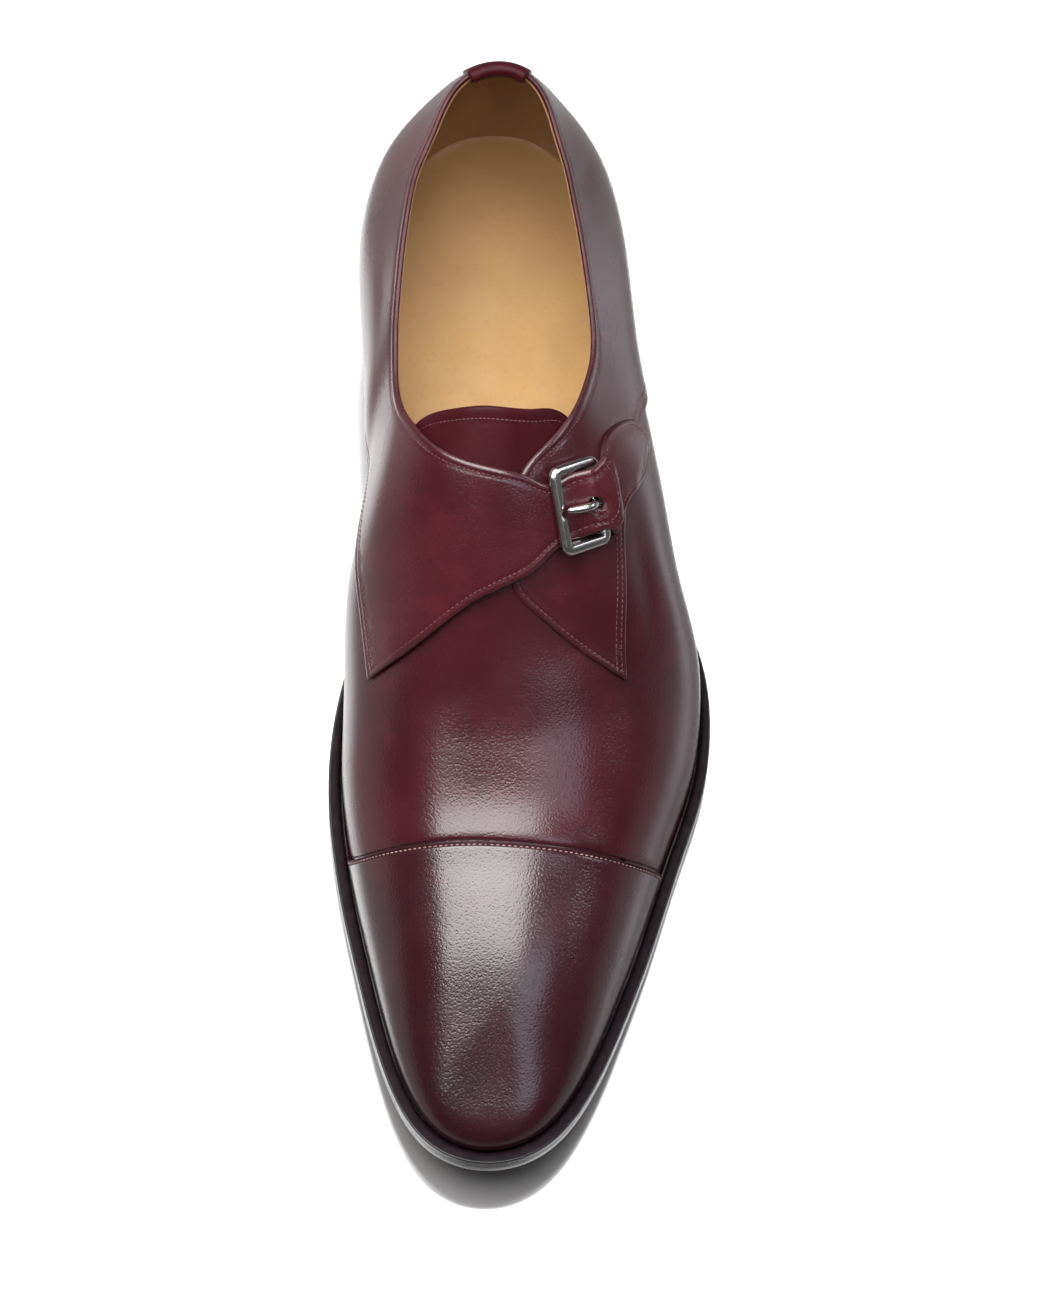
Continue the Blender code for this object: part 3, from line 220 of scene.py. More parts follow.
STRAP_LOW = ((140.2, 0.322), (140.6, 0.292), (143.6, 0.247), (147.0, 0.190), (152.5, 0.132), (156.0, 0.070),
             (160.3, -0.031), (165.0, -0.152), (169.3, -0.305), (171.0, -0.488))
TONGUE_TOP = ((118.0, -0.345), (114.4, -0.322), (112.8, -0.260), (114.2, -0.150), (115.6, 0.000), (114.6, 0.150),
              (112.8, 0.230), (114.2, 0.272), (118.0, 0.285))
TONGUE_OUTER = ((118.0, 0.285), (138.0, 0.285), (162.0, 0.260))
TONGUE_FRONT = ((162.0, 0.260), (163.0, 0.000), (162.0, -0.320))
TONGUE_INNER = ((162.0, -0.320), (138.0, -0.342), (118.0, -0.345))
VAMP_OUTER = ((62.0, 1.060), (70.0, 0.930), (77.0, 0.830), (84.0, 0.730), (96.0, 0.575), (109.0, 0.470),
              (127.0, 0.385), (146.0, 0.345), (155.0, 0.270), (155.0, 0.160), (153.0, 0.068))
VAMP_INNER = ((153.0, -0.360), (148.0, -0.430), (138.0, -0.470), (126.0, -0.500), (112.0, -0.545), (99.0, -0.620),
              (89.0, -0.730), (81.0, -0.860), (75.0, -1.060))
STAY_EDGE = ((127.0, 0.324), (119.0, 0.340), (112.0, 0.405), (107.0, 0.487), (106.0, 0.548), (109.6, 0.597),
             (116.4, 0.570), (125.5, 0.480), (132.4, 0.415), (140.2, 0.360), (138.9, 0.350))
STAY_LUG_LOW = ((138.9, 0.350), (139.0, 0.320), (138.7, 0.300), (137.5, 0.292), (134.8, 0.286))
STAY_SLOT = ((134.8, 0.286), (134.9, 0.318), (133.2, 0.338), (131.3, 0.316), (131.2, 0.278))
STAY_LUG_TOP = ((131.2, 0.278), (128.2, 0.269), (127.1, 0.275), (127.0, 0.324))
BUCKLE_CORNERS = ((130.1, 0.150, 5.7), (149.7, 0.205, 5.6), (141.6, 0.328, 4.6), (121.5, 0.288, 4.6))
BUCKLE_SLANT = 0.0026
STRAP_HOLE = (134.5, 0.272)
BUCKLE_HALF_LONG = 12.4
BUCKLE_HALF_WIDE = 8.4
BAR_WIDE = 2.8
BAR_THICK = 2.2
HINGE_ROD = 1.8
TAB_SPREAD = 0.049

# Soft creases and dents of the upper: where the middle is, how far it reaches each way, how it is turned in the
# pattern plane and how deep it is. A trough is negative and a bulge positive.
CREASE_FADE = 1.2
CREASES = (
    # station, girth, half length, half width, degrees, depth
    (98.0, -0.62, 26.0, 9.0, 12.0, 0.55),
    (112.0, -0.60, 24.0, 6.0, 20.0, -0.50),
    (150.0, 0.60, 22.0, 8.0, -8.0, 0.45),
    (146.0, 0.49, 16.0, 5.0, -4.0, -0.45),
    (178.0, 0.28, 20.0, 7.0, 78.0, 0.30),
    (183.0, -0.30, 24.0, 6.0, 96.0, -0.28),
    (192.0, 0.10, 30.0, 6.0, 90.0, -0.22),
    (218.5, 0.02, 30.0, 7.0, 90.0, 0.50),
    (60.0, 0.70, 24.0, 9.0, 8.0, 0.35),
    (48.0, -0.72, 22.0, 9.0, -6.0, 0.35),
    (30.0, 0.56, 16.0, 5.0, 4.0, -0.30),
    (74.0, -0.56, 20.0, 5.0, -4.0, -0.35),
)


def column(rows, index):
    return np.array([row[index] for row in rows], float)


def unit(vectors):
    """Vectors cut to length 1, one or a table of them."""
    return vectors / np.maximum(np.linalg.norm(vectors, axis=-1, keepdims=True), 1e-9)


def left_of(run):
    """Level directions to the left of some level directions."""
    return np.stack([-run[:, 1], run[:, 0]], axis=1)


def lengths(points):
    """How far along a line each of its points lies."""
    return np.concatenate([[0], np.cumsum(np.linalg.norm(np.diff(points, axis=0), axis=1))])


def along_line(line, at):
    """Points at some distances along a line."""
    steps = lengths(line)
    return np.stack([np.interp(at, steps, values) for values in line.T], axis=-1)


def by_parts(work, points, size=1500):
    """Work done on some points at a time, to spare memory."""
    return np.concatenate([work(points[i : i + size]) for i in range(0, max(len(points), 1), size)])


class Spline:
    """A cubic spline through knots, with no curvature at its ends."""

    def __init__(self, knots, values):
        self.x = np.asarray(knots, float)
        self.y = np.asarray(values, float)
        n = len(self.x)
        h = np.diff(self.x)
        matrix = np.eye(n)
        right = np.zeros(n)
        for i in range(1, n - 1):
            matrix[i, i - 1 : i + 2] = h[i - 1], 2 * (h[i - 1] + h[i]), h[i]
            right[i] = 6 * ((self.y[i + 1] - self.y[i]) / h[i] - (self.y[i] - self.y[i - 1]) / h[i - 1])
        self.m = np.linalg.solve(matrix, right)

    def __call__(self, x):
        x = np.clip(x, self.x[0], self.x[-1])
        i = np.clip(np.searchsorted(self.x, x, side="right") - 1, 0, len(self.x) - 2)
        h = self.x[i + 1] - self.x[i]
        a = (self.x[i + 1] - x) / h
        b = (x - self.x[i]) / h
        bend = ((a**3 - a) * self.m[i] + (b**3 - b) * self.m[i + 1]) * h * h / 6
        return a * self.y[i] + b * self.y[i + 1] + bend


def splined(points, at):
    """A smooth line through points, read at some distances along it."""
    steps = lengths(points)
    return np.stack([Spline(steps, values)(at) for values in points.T], axis=1)


def turn_of(share):
    """The share of a half turn that gives this share of a length, so that round ends stay round."""
    return np.arccos(1 - 2 * np.clip(share, 0, 1)) / math.pi


def share_of(turn):
    return (1 - np.cos(math.pi * np.asarray(turn, float))) / 2


def turn_at(station):
    return turn_of((np.asarray(station, float) - LAST_BACK) / LAST_LENGTH)


def station_of(turn):
    return LAST_BACK + share_of(turn) * LAST_LENGTH


def smooth_step(x, start, end):
    t = np.clip((np.asarray(x, float) - start) / (end - start), 0, 1)
    return t * t * (3 - 2 * t)


def round_spline(turns, values, mirror):
    """A spline over a half turn that goes on past both ends, mirrored (1) or mirrored and negated (-1)."""
    turns = np.concatenate([-turns[3:0:-1], turns, 2 - turns[-2:-5:-1]])
    values = np.concatenate([mirror * values[3:0:-1], values, mirror * values[-2:-5:-1]])
    return Spline(turns, values)


FEATHER_TURNS = turn_of(column(FEATHER_LINE, 0))
FEATHER = [round_spline(FEATHER_TURNS, column(FEATHER_LINE, i) * BALL_WIDTH, -1) for i in (1, 2)]
WALL_TURNS = turn_of(column(WALL_ROWS, 0))
WALLS = [round_spline(WALL_TURNS, column(WALL_ROWS, i), 1) for i in range(1, 8)]
WALL_OUT, WALL_RISE, NECK_IN, NECK_RISE = WALLS[0:2], WALLS[2:4], WALLS[4:6], WALLS[6]
RIDGE_STATIONS = column(RIDGE_ROWS, 0) * SOLE_LENGTH
RIDGE_Z = Spline(RIDGE_STATIONS, column(RIDGE_ROWS, 1) * INSTEP_HEIGHT)
RIDGE_X = Spline(RIDGE_STATIONS, column(RIDGE_ROWS, 2))
EDGE_TURNS = turn_of(column(EDGE_ROWS, 0))
EDGE_OUT = [Spline(EDGE_TURNS, column(EDGE_ROWS, i)) for i in (1, 2)]


def tread_z(station):
    """Height of the outsole's underside: level under the heel, down the shank, flat at the ball, up at the toe."""
    station = np.asarray(station, float)
    shank = HEEL_HEIGHT * (1 - smooth_step(station, SEAT_END, BALL_STATION - 12))
    spring = np.clip((station - SPRING_START) / (SOLE_LENGTH - SPRING_START), 0, None)
    return shank + TOE_SPRING * spring**SPRING_POWER


def bed_z(station):
    """Height of the outsole's top."""
    return tread_z(station) + OUTSOLE


def swing(station):
    """How far the toe turns towards the inner side."""
    return TOE_SWING * smooth_step(station, 235.0, 325.0) * 2


def soft_clamp(x, low, high, softness):
    """x, held between two limits with rounded corners."""
    over = softness * np.logaddexp(0, (x - high) / softness)
    under = softness * np.logaddexp(0, (low - x) / softness)
    return x - over + under


def four_knot_curve(knots, values, at, end_slope=None):
    """A cubic through four knots for each row, read at one place in each row. It starts with no curvature and
    ends with none, or at a given slope."""
    h = np.diff(knots, axis=1)
    slope = np.diff(values, axis=1) / h
    n = len(knots)
    matrix = np.zeros((n, 4, 4))
    right = np.zeros((n, 4))
    matrix[:, 0, 0] = 1
    for i in (1, 2):
        matrix[:, i, i - 1] = h[:, i - 1]
        matrix[:, i, i] = 2 * (h[:, i - 1] + h[:, i])
        matrix[:, i, i + 1] = h[:, i]
        right[:, i] = 6 * (slope[:, i] - slope[:, i - 1])
    if end_slope is not None:
        matrix[:, 3, 2] = h[:, 2]
        matrix[:, 3, 3] = 2 * h[:, 2]
        right[:, 3] = 6 * (end_slope - slope[:, 2])
    else:
        matrix[:, 3, 3] = 1
    m = np.linalg.solve(matrix, right[..., None])[..., 0]
    i = np.clip((at[:, None] >= knots[:, 1:3]).sum(axis=1), 0, 2)
    row = np.arange(n)
    width = h[row, i]
    a = (knots[row, i + 1] - at) / width
    b = (at - knots[row, i]) / width
    bend = ((a**3 - a) * m[row, i] + (b**3 - b) * m[row, i + 1]) * width**2 / 6
    return a * values[row, i] + b * values[row, i + 1] + bend


def rib(turn, side):
    """The four places a rib of the last passes, feather line, widest point, neck and ridge, as distances in
    from the ridge and heights, with the ridge's place and the rib's outward direction."""
    turn = np.asarray(turn, float)
    side = np.asarray(side, int)

    def pick(pair):
        return np.where(side > 0, pair[1](turn), pair[0](turn))

    station = station_of(turn)
    feather_x = np.where(side > 0, 1, -1) * pick(FEATHER) - swing(station)
    feather = np.stack([feather_x, ORIGIN_STATION - station], axis=1)
    top_station = soft_clamp(station, HEEL_FAN, TOE_FAN, FAN_SOFTNESS)
    ridge = np.stack([RIDGE_X(top_station) - swing(top_station), ORIGIN_STATION - top_station], axis=1)
    reach = feather - ridge
    width = np.maximum(np.linalg.norm(reach, axis=1), 1e-6)
    outward = reach / width[:, None]
    base = bed_z(station) + GAP
    distance = np.stack([width, width + pick(WALL_OUT), width - pick(NECK_IN), 0 * width], axis=1)
    height = np.stack([base, base + pick(WALL_RISE), base + NECK_RISE(turn), RIDGE_Z(top_station)], axis=1)
    return distance, height, ridge, outward


def chord_knots(distance, height):
    steps = np.hypot(np.diff(distance, axis=1), np.diff(height, axis=1))
    return np.concatenate([np.zeros((len(distance), 1)), np.cumsum(steps, axis=1)], axis=1)


def last_point(turn, girth):
    """Points of the last's outer skin at these half-turn shares and girth shares."""
    turn = np.clip(np.asarray(turn, float), 0, 1)
    girth = np.asarray(girth, float)
    distance, height, ridge, outward = rib(turn, np.where(girth > 0, 1, -1))
    knots = chord_knots(distance, height)
    at = (1 - np.abs(girth)) * knots[:, 3]
    r = four_knot_curve(knots, distance, at)
    end_slope = TOE_SLOPE * outward[:, 1] * smooth_step(station_of(turn), 232.0, TOE_FAN)
    z = four_knot_curve(knots, height, at, end_slope)
    return np.concatenate([ridge + outward * r[:, None], z[:, None]], axis=1)


def skin_frame(turn, girth):
    """Points of the skin with their normals, level close to the feather line."""
    step = 2e-3
    point = last_point(turn, girth)
    along = last_point(np.minimum(turn + step, 1), girth) - last_point(np.maximum(turn - step, 0), girth)
    inner = np.where(girth > 0, np.minimum(girth + step, 1), np.minimum(girth + step, 0))
    outer = np.where(girth > 0, np.maximum(girth - step, 0), np.maximum(girth - step, -1))
    across = last_point(turn, inner) - last_point(turn, outer)
    normal = np.cross(along, across)
    height = smooth_step(1 - np.abs(girth), 0.0, 0.12)
    normal[:, 2] *= height
    return point, unit(normal), height


def skin(turn, girth, lift=0.0):
    """Points lifted off the last's outer skin along its normal. Close to the feather line they are lifted level."""
    turn, girth, lift = np.broadcast_arrays(*(np.atleast_1d(np.asarray(a, float)) for a in (turn, girth, lift)))
    point, normal, height = skin_frame(turn, girth)
    lifted = point + normal * lift[:, None]
    slope = bed_z(ORIGIN_STATION - lifted[:, 1]) - bed_z(ORIGIN_STATION - point[:, 1])
    lifted[:, 2] += slope * (1 - height)
    return lifted


def flat(turn, girth):
    """The pattern plane: the upper opened out flat round its ridge, in millimetres."""
    turn = np.clip(np.asarray(turn, float), 0, 1)
    girth = np.asarray(girth, float)
    distance, height, ridge, outward = rib(turn, np.where(girth > 0, 1, -1))
    length = chord_knots(distance, height)[:, 3]
    return ridge + outward * (np.abs(girth) * length)[:, None]


def spot(station, girth):
    """One place in the pattern plane."""
    return flat(turn_at([station]), np.array([girth]))[0]


RIB_TURNS = np.linspace(0, 1, 901)


def unflat(points):
    """Half-turn share and girth share of points of the pattern plane."""
    return by_parts(unflat_few, np.asarray(points, float)).T


def unflat_few(points):
    """The half-turn shares and girth shares, found where the ribs of each side pass the points."""
    best_turn = np.zeros(len(points))
    best_girth = np.zeros(len(points))
    best_miss = np.full(len(points), np.inf)
    for side in (-1, 1):
        distance, height, ridge, outward = rib(RIB_TURNS, np.full(len(RIB_TURNS), side))
        length = chord_knots(distance, height)[:, 3]
        away = points[:, None, :] - ridge[None, :, :]
        across = outward[None, :, 0] * away[:, :, 1] - outward[None, :, 1] * away[:, :, 0]
        along = (outward[None] * away).sum(axis=2)
        crossing = (across[:, :-1] * across[:, 1:] <= 0) & (along[:, :-1] > -0.5)
        found = crossing.any(axis=1)
        i = np.where(found, np.argmax(crossing, axis=1), 0)
        row = np.arange(len(points))
        a, b = across[row, i], across[row, i + 1]
        share = np.where(found, a / np.where(np.abs(a - b) < 1e-12, 1, a - b), 0)
        near = np.argmin(np.where(along > -0.5, np.abs(across), np.inf), axis=1)
        turn = np.where(found, RIB_TURNS[i] + share * (RIB_TURNS[1] - RIB_TURNS[0]), RIB_TURNS[near])
        reach = np.where(found, along[row, i] * (1 - share) + along[row, i + 1] * share, along[row, near])
        girth = side * np.maximum(reach, 0) / np.interp(turn, RIB_TURNS, length)
        miss = np.where(found, 0, np.abs(across[row, near]))
        better = miss < best_miss
        best_turn[better] = turn[better]
        best_girth[better] = girth[better]
        best_miss[better] = miss[better]
    return np.stack([best_turn, best_girth], axis=1)


def trace(rows, spacing=1.5):
    """A smooth line of the pattern plane through (station, girth) knots."""
    knots = flat(turn_at(column(rows, 0)), column(rows, 1))
    length = lengths(knots)[-1]
    return splined(knots, np.linspace(0, length, max(2, math.ceil(length / spacing)) + 1))


def join(*lines, closed=True):
    """Lines end to end as one loop, or as one open line, without repeated points."""
    points = np.concatenate(lines)
    keep = np.linalg.norm(points - np.roll(points, 1, axis=0), axis=1) > 0.05
    keep[0] |= not closed
    return points[keep]


def headings(loop):
    """Directions into and out of each point of a loop."""
    return unit(loop - np.roll(loop, 1, axis=0)), unit(np.roll(loop, -1, axis=0) - loop)


def offset(loop, distance):
    """A loop of the pattern plane moved sideways, to its left for a positive distance."""
    before, after = headings(loop)
    normal = unit(left_of(before + after))
    stretch = np.clip((normal * left_of(after)).sum(axis=1), 0.5, 1)
    return loop + normal * (distance / stretch)[:, None]


def turned_left(loop):
    """The loop, run so that its inside is on its left."""
    x, y = loop[:, 0], loop[:, 1]
    area = (x * np.roll(y, -1) - np.roll(x, -1) * y).sum()
    return loop if area > 0 else loop[::-1]


def inside(points, loop):
    """Which points lie inside a loop."""
    a, b = loop, np.roll(loop, -1, axis=0)
    rise = np.where(np.abs(b[:, 1] - a[:, 1]) < 1e-12, 1e-12, b[:, 1] - a[:, 1])

    def crossed_oddly(some):
        x, y = some[:, :1], some[:, 1:]
        spans = (a[:, 1] > y) != (b[:, 1] > y)
        cut = a[:, 0] + (y - a[:, 1]) / rise * (b[:, 0] - a[:, 0])
        return (spans & (x < cut)).sum(axis=1) % 2 == 1

    return by_parts(crossed_oddly, np.asarray(points, float))


def distance_to(points, starts, ends):
    """Distance of each point from the nearest of some line pieces."""
    edge = ends - starts
    size = np.maximum((edge**2).sum(axis=1), 1e-12)

    def nearest(some):
        away = some[:, None, :] - starts[None]
        share = np.clip((away * edge[None]).sum(axis=2) / size[None], 0, 1)
        return np.linalg.norm(away - share[:, :, None] * edge[None], axis=2).min(axis=1)

    return by_parts(nearest, points)


def distance_to_loop(points, loop):
    return distance_to(points, loop, np.roll(loop, -1, axis=0))


def distance_to_line(points, line):
    return distance_to(points, line[:-1], line[1:])


def outside_by(points, loop):
    """How far points lie outside a loop."""
    return np.where(inside(points, loop), 0.0, distance_to_loop(points, loop))


# ----------------------------- sheets of leather


SEED_CLEARANCE = 0.55
SAME_POINT = 1e-4
NO_AREA = 1e-7


class Sheet:
    """A sheet of leather on the last, worked out in the pattern plane. Its outline is a loop. Its lifts function
    gives the lower and upper lift at points, from their places and their distance from the sheet's round edges.
    Its mesh has rows of points at some distances in from its edges, and along any extra lines."""

    def __init__(self, name, outline, lifts, spacing, rounding, rows, low_rounding=None, holes=(), lines=(),
                 edges=None):
        self.name = name
        self.outline = turned_left(outline)
        self.holes = [turned_left(hole) for hole in holes]
        self.lifts = lifts
        self.edges = edges
        self.rounding = rounding
        self.low_rounding = rounding if low_rounding is None else low_rounding
        loops = [self.outline] + self.holes
        for row in rows:
            loops.append(offset(self.outline, row))
            loops += [offset(hole, -row) for hole in self.holes]
        self.fill(loops, list(lines), spacing)

    def seeds(self, spacing):
        """Points of an even triangular grid inside the sheet."""
        low, high = self.outline.min(axis=0), self.outline.max(axis=0)
        rise = spacing * math.sqrt(3) / 2
        across = np.arange(low[0], high[0] + spacing, spacing)
        rows = []
        for k, y in enumerate(np.arange(low[1], high[1] + rise, rise)):
            rows.append(np.stack([across + (k % 2) * spacing / 2, np.full(len(across), y)], axis=1))
        rows = np.concatenate(rows)
        return rows[self.holds(rows)]

    def fill(self, loops, lines, spacing):
        """Triangles between the loops, the lines and a grid of points clear of both."""
        seeds = self.seeds(spacing)
        for measure, rows in ((distance_to_loop, loops), (distance_to_line, lines)):
            for row in rows:
                seeds = seeds[measure(seeds, row) > spacing * SEED_CLEARANCE]
        points = [Vector(p) for row in (*loops, *lines, seeds) for p in row]
        pairs = []
        start = 0
        for closing, rows in ((0, loops), (1, lines)):
            for row in rows:
                n = len(row)
                pairs += [(start + i, start + (i + 1) % n) for i in range(n - closing)]
                start += n
        found, _, faces, _, _, _ = delaunay_2d_cdt(points, pairs, [], 0, SAME_POINT)
        found = np.array([(p[0], p[1]) for p in found])
        faces = np.array([f for f in faces if len(f) == 3])
        faces = faces[self.holds(found[faces].mean(axis=1))]
        a, b, c = (found[faces[:, i]] for i in range(3))
        area = (b - a)[:, 0] * (c - a)[:, 1] - (b - a)[:, 1] * (c - a)[:, 0]
        solid = np.abs(area) > NO_AREA
        faces, area = faces[solid], area[solid]
        faces[area < 0] = faces[area < 0][:, ::-1]
        names = np.unique(faces)
        renumber = np.full(len(found), -1)
        renumber[names] = np.arange(len(names))
        self.faces = renumber[faces]
        self.points = found[names]
        self.turn, self.girth = unflat(self.points)

    def holds(self, points):
        kept = inside(points, self.outline)
        for hole in self.holes:
            kept &= ~inside(points, hole)
        return kept

    def edge(self, points):
        """Distance from the sheet's round edges."""
        near = [distance_to_loop(points, hole) for hole in self.holes]
        if self.edges is None:
            near.append(distance_to_loop(points, self.outline))
        else:
            near += [distance_to_line(points, line) for line in self.edges]
        return np.min(near, axis=0)

    def levels(self, points, turn, girth):
        """Lower and upper lift, with the edges rounded over."""
        edge = self.edge(points)
        low, high = self.lifts(points, turn, girth, edge)
        half = (high - low) / 2
        cuts = []
        for radius in (self.low_rounding, self.rounding):
            r = np.minimum(radius, half * 0.98)
            cuts.append(r - np.sqrt(np.maximum(r**2 - (r - np.minimum(edge, r)) ** 2, 0)))
        return low + cuts[0], high - cuts[1]

    def cut_faces(self, reach, behind=None):
        """1 for the faces of the cut edge and its rounding, as far in as a reach, or beside a line, and 0 for the
        others."""
        near = self.edge(self.points) < reach
        if behind is not None:
            near |= distance_to_line(self.points, behind[0]) < behind[1]
        sheet = near[self.faces].all(axis=1).astype(int)
        skirt = near[self.rim()].all(axis=1).astype(int)
        return np.concatenate([sheet, sheet * 0, skirt, skirt])

    def rim(self):
        """Pairs of points along the sheet's open sides."""
        n = len(self.points)
        f = self.faces
        sides = np.concatenate([f[:, (0, 1)], f[:, (1, 2)], f[:, (2, 0)]])
        codes = sides[:, 0].astype(np.int64) * n + sides[:, 1]
        backs = sides[:, 1].astype(np.int64) * n + sides[:, 0]
        return sides[~np.isin(codes, backs)]

    def top(self, points):
        """Upper lift at points of the pattern plane."""
        turn, girth = unflat(points)
        return self.levels(points, turn, girth)[1], turn, girth

    def mesh(self):
        """Vertices and faces of the closed sheet."""
        low, high = self.levels(self.points, self.turn, self.girth)
        n = len(self.points)
        verts = np.concatenate([skin(self.turn, self.girth, high), skin(self.turn, self.girth, low)])
        f = self.faces
        rim = self.rim()
        p, q = rim[:, 0], rim[:, 1]
        skirt = np.concatenate([np.stack([q, p, p + n], axis=1), np.stack([q, p + n, q + n], axis=1)])
        return verts, np.concatenate([f, f[:, ::-1] + n, skirt])


def new_object(name, data):
    item = bpy.data.objects.new(name, data)
    bpy.context.scene.collection.objects.link(item)
    return item


def piece(name, verts, faces, material, weld=0.0, kinds=None, second=None, by_volume=True):
    """An object of the part, riding on its one body, from points in millimetres and faces in a list or table.
    Faces of kind 1 take the second material. Faces are turned outward, by the sign of the volume too if asked."""
    mesh = bpy.data.meshes.new(name)
    placed = (np.asarray(verts, float) + SHIFT) * MM
    mesh.from_pydata(placed.tolist(), [], [tuple(int(i) for i in f) for f in faces])
    mesh.update()
    if kinds is not None:
        mesh.polygons.foreach_set("material_index", kinds)
    bm = bmesh.new()
    bm.from_mesh(mesh)
    if weld:
        bmesh.ops.remove_doubles(bm, verts=bm.verts, dist=weld * MM)
    bmesh.ops.delete(bm, geom=[v for v in bm.verts if not v.link_faces], context="VERTS")
    bmesh.ops.recalc_face_normals(bm, faces=bm.faces)
    if by_volume and bm.calc_volume(signed=True) < 0:
        bmesh.ops.reverse_faces(bm, faces=bm.faces)
    bm.to_mesh(mesh)
    bm.free()
    mesh.polygons.foreach_set("use_smooth", [True] * len(mesh.polygons))
    item = new_object(name, mesh)
    for look in (material, second):
        if look is not None:
            mesh.materials.append(look)
    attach(item, "root")
    return item


def wall_faces(rows, size, closed=False):
    """Faces between closed rings of points that follow one another, and back to the first where closed."""
    faces = []
    for i in range(rows if closed else rows - 1):
        low, high = i * size, (i + 1) % rows * size
        for k in range(size):
            m = (k + 1) % size
            faces.append((low + k, low + m, high + m, high + k))
    return faces


def rod_faces(rows, size):
    """Faces of a rod: its walls and a flat face at each end."""
    ends = [tuple(range(size))[::-1], tuple(range((rows - 1) * size, rows * size))]
    return wall_faces(rows, size) + ends


def slab_faces(rows, size, turned=False):
    """Faces of a closed slab: a grid of points, then the same grid again on its other side."""
    count = rows * size
    faces = []
    for i in range(rows - 1):
        for k in range(size - 1):
            a = i * size + k
            face = (a, a + 1, a + size + 1, a + size)[:: -1 if turned else 1]
            faces += [face, tuple(v + count for v in face[::-1])]
    rim = list(range(size)) + [i * size + size - 1 for i in range(1, rows)]
    rim += [(rows - 1) * size + k for k in range(size - 2, -1, -1)] + [i * size for i in range(rows - 2, 0, -1)]
    return faces + [(a, b, b + count, a + count) for a, b in zip(rim, rim[1:] + rim[:1])]


def creases(points):
    """Lift of the soft creases and dents at points of the pattern plane."""
    total = np.zeros(len(points))
    for station, girth, half_long, half_wide, degrees, depth in CREASES:
        away = points - spot(station, girth)
        angle = math.radians(degrees)
        # A crease that isn't turned runs along the shoe.
        a = away @ (math.sin(angle), math.cos(angle)) / half_long
        b = away @ (math.cos(angle), -math.sin(angle)) / half_wide
        total += depth * np.exp(-(a**2 + b**2) * CREASE_FADE)
    return total


def edge_distance(turn, girth):
    """Millimetres from the feather line, along the skin."""
    distance, height, _, _ = rib(turn, np.where(girth > 0, 1, -1))
    return (1 - np.abs(girth)) * chord_knots(distance, height)[:, 3]


def lasted(turn, girth, high):
    """The lift near the feather line, where every layer is drawn in under the edge."""
    share = 1 - smooth_step(edge_distance(turn, girth), LASTED_START, LASTED_HEIGHT)
    return high * (1 - share) + LASTED_EDGE * share


def groove(edge, at, depth, width=0.38):
    """A soft channel at a distance from an edge."""
    return -depth * np.exp(-(((edge - at) / width) ** 2))


# ----------------------------- pattern pieces

FEATHER_SHARE = 0.9995
FEATHER_STEPS = 170
COLLAR_SHARE = 0.462
BUCKLE_STATION = 133.0


def feather_loop():
    """The feather line all round."""
    turns = np.linspace(0, 1, FEATHER_STEPS + 1)
    return np.concatenate([flat(turns, FEATHER_SHARE), flat(turns[-2:0:-1], -FEATHER_SHARE)])


def feather_run(side, start, end):
    """Part of the feather line on one side, from one station to another."""
    first, last = turn_at(start), turn_at(end)
    turns = np.linspace(first, last, max(3, int(abs(last - first) * FEATHER_STEPS) + 1))
    return flat(turns, side * FEATHER_SHARE)


def down_to_feather(line):
    """A line's part above the feather line, and the station where it ends."""
    turn, girth = unflat(line)
    last = np.flatnonzero(np.abs(girth) < FEATHER_SHARE)[-1]
    return line[: last + 1], station_of(turn[last])


def heel_line(side):
    """The middle of the heel in the pattern plane, from the collar down to the feather line."""
    return flat(np.zeros(36), side * np.linspace(COLLAR_SHARE, FEATHER_SHARE, 36))


def outer_quarter_lines():
    """The outer quarter's collar, front, lower edge, feather line and heel."""
    lower, station = down_to_feather(trace(QUARTER_OUTER)[::-1])
    base = feather_run(1, station, LAST_BACK)
    return trace(COLLAR_OUTER), trace(WING_FRONT)[::-1], lower, base, heel_line(1)[::-1]


def inner_quarter_lines():
    """The inner quarter's collar with the strap's top, the strap's end and low edge, the quarter's lower edge,
    feather line and heel."""
    edge = trace(COLLAR_INNER[:0:-1] + STRAP_TOP)
    low = trace(STRAP_LOW[:-1] + QUARTER_INNER[:1])
    lower, station = down_to_feather(trace(QUARTER_INNER))
    base = feather_run(-1, station, LAST_BACK)
    return edge, trace(STRAP_END), low, lower, base, heel_line(-1)[::-1]


def vamp_outline():
    """The vamp, out to its hidden edges under the quarters and the strap."""
    outer, outer_station = down_to_feather(trace(VAMP_OUTER[::-1]))
    inner, inner_station = down_to_feather(trace(VAMP_INNER))
    ahead = feather_run(-1, inner_station, LAST_TIP)
    back = feather_run(1, LAST_TIP, outer_station)
    return join(trace(THROAT_END), inner, ahead, back, outer[::-1])


def cap_lines():
    """The cap's seam, and its feather line round the toe."""
    seam = trace(CAP_SEAM)
    seam = seam[np.abs(unflat(seam)[1]) < FEATHER_SHARE]
    back = station_of(unflat(seam[[0, -1]])[0])
    return seam, join(feather_run(1, back[1], LAST_TIP), feather_run(-1, LAST_TIP, back[0]))


def beside_bars(station, girth):
    """Girth share measured square to the buckle's bars, which lean a little across the foot."""
    return girth - BUCKLE_SLANT * (station - BUCKLE_STATION)


def strap_lift(station, girth):
    """Lift of the strap's underside: over the vamp, then the wing, the stay and the buckle's outer bar."""
    over_wing = (QUARTER_LEATHER + 0.1) * smooth_step(girth, -0.10, 0.05)
    across = beside_bars(station, girth)
    over_bar = 4.9 * smooth_step(across, 0.192, 0.270) - 2.6 * smooth_step(across, 0.336, 0.374)
    return GAP + 0.15 + over_wing + over_bar


# ----------------------------- stitches

STITCH_SIDES = 6
STITCH_HEAVE = 0.18
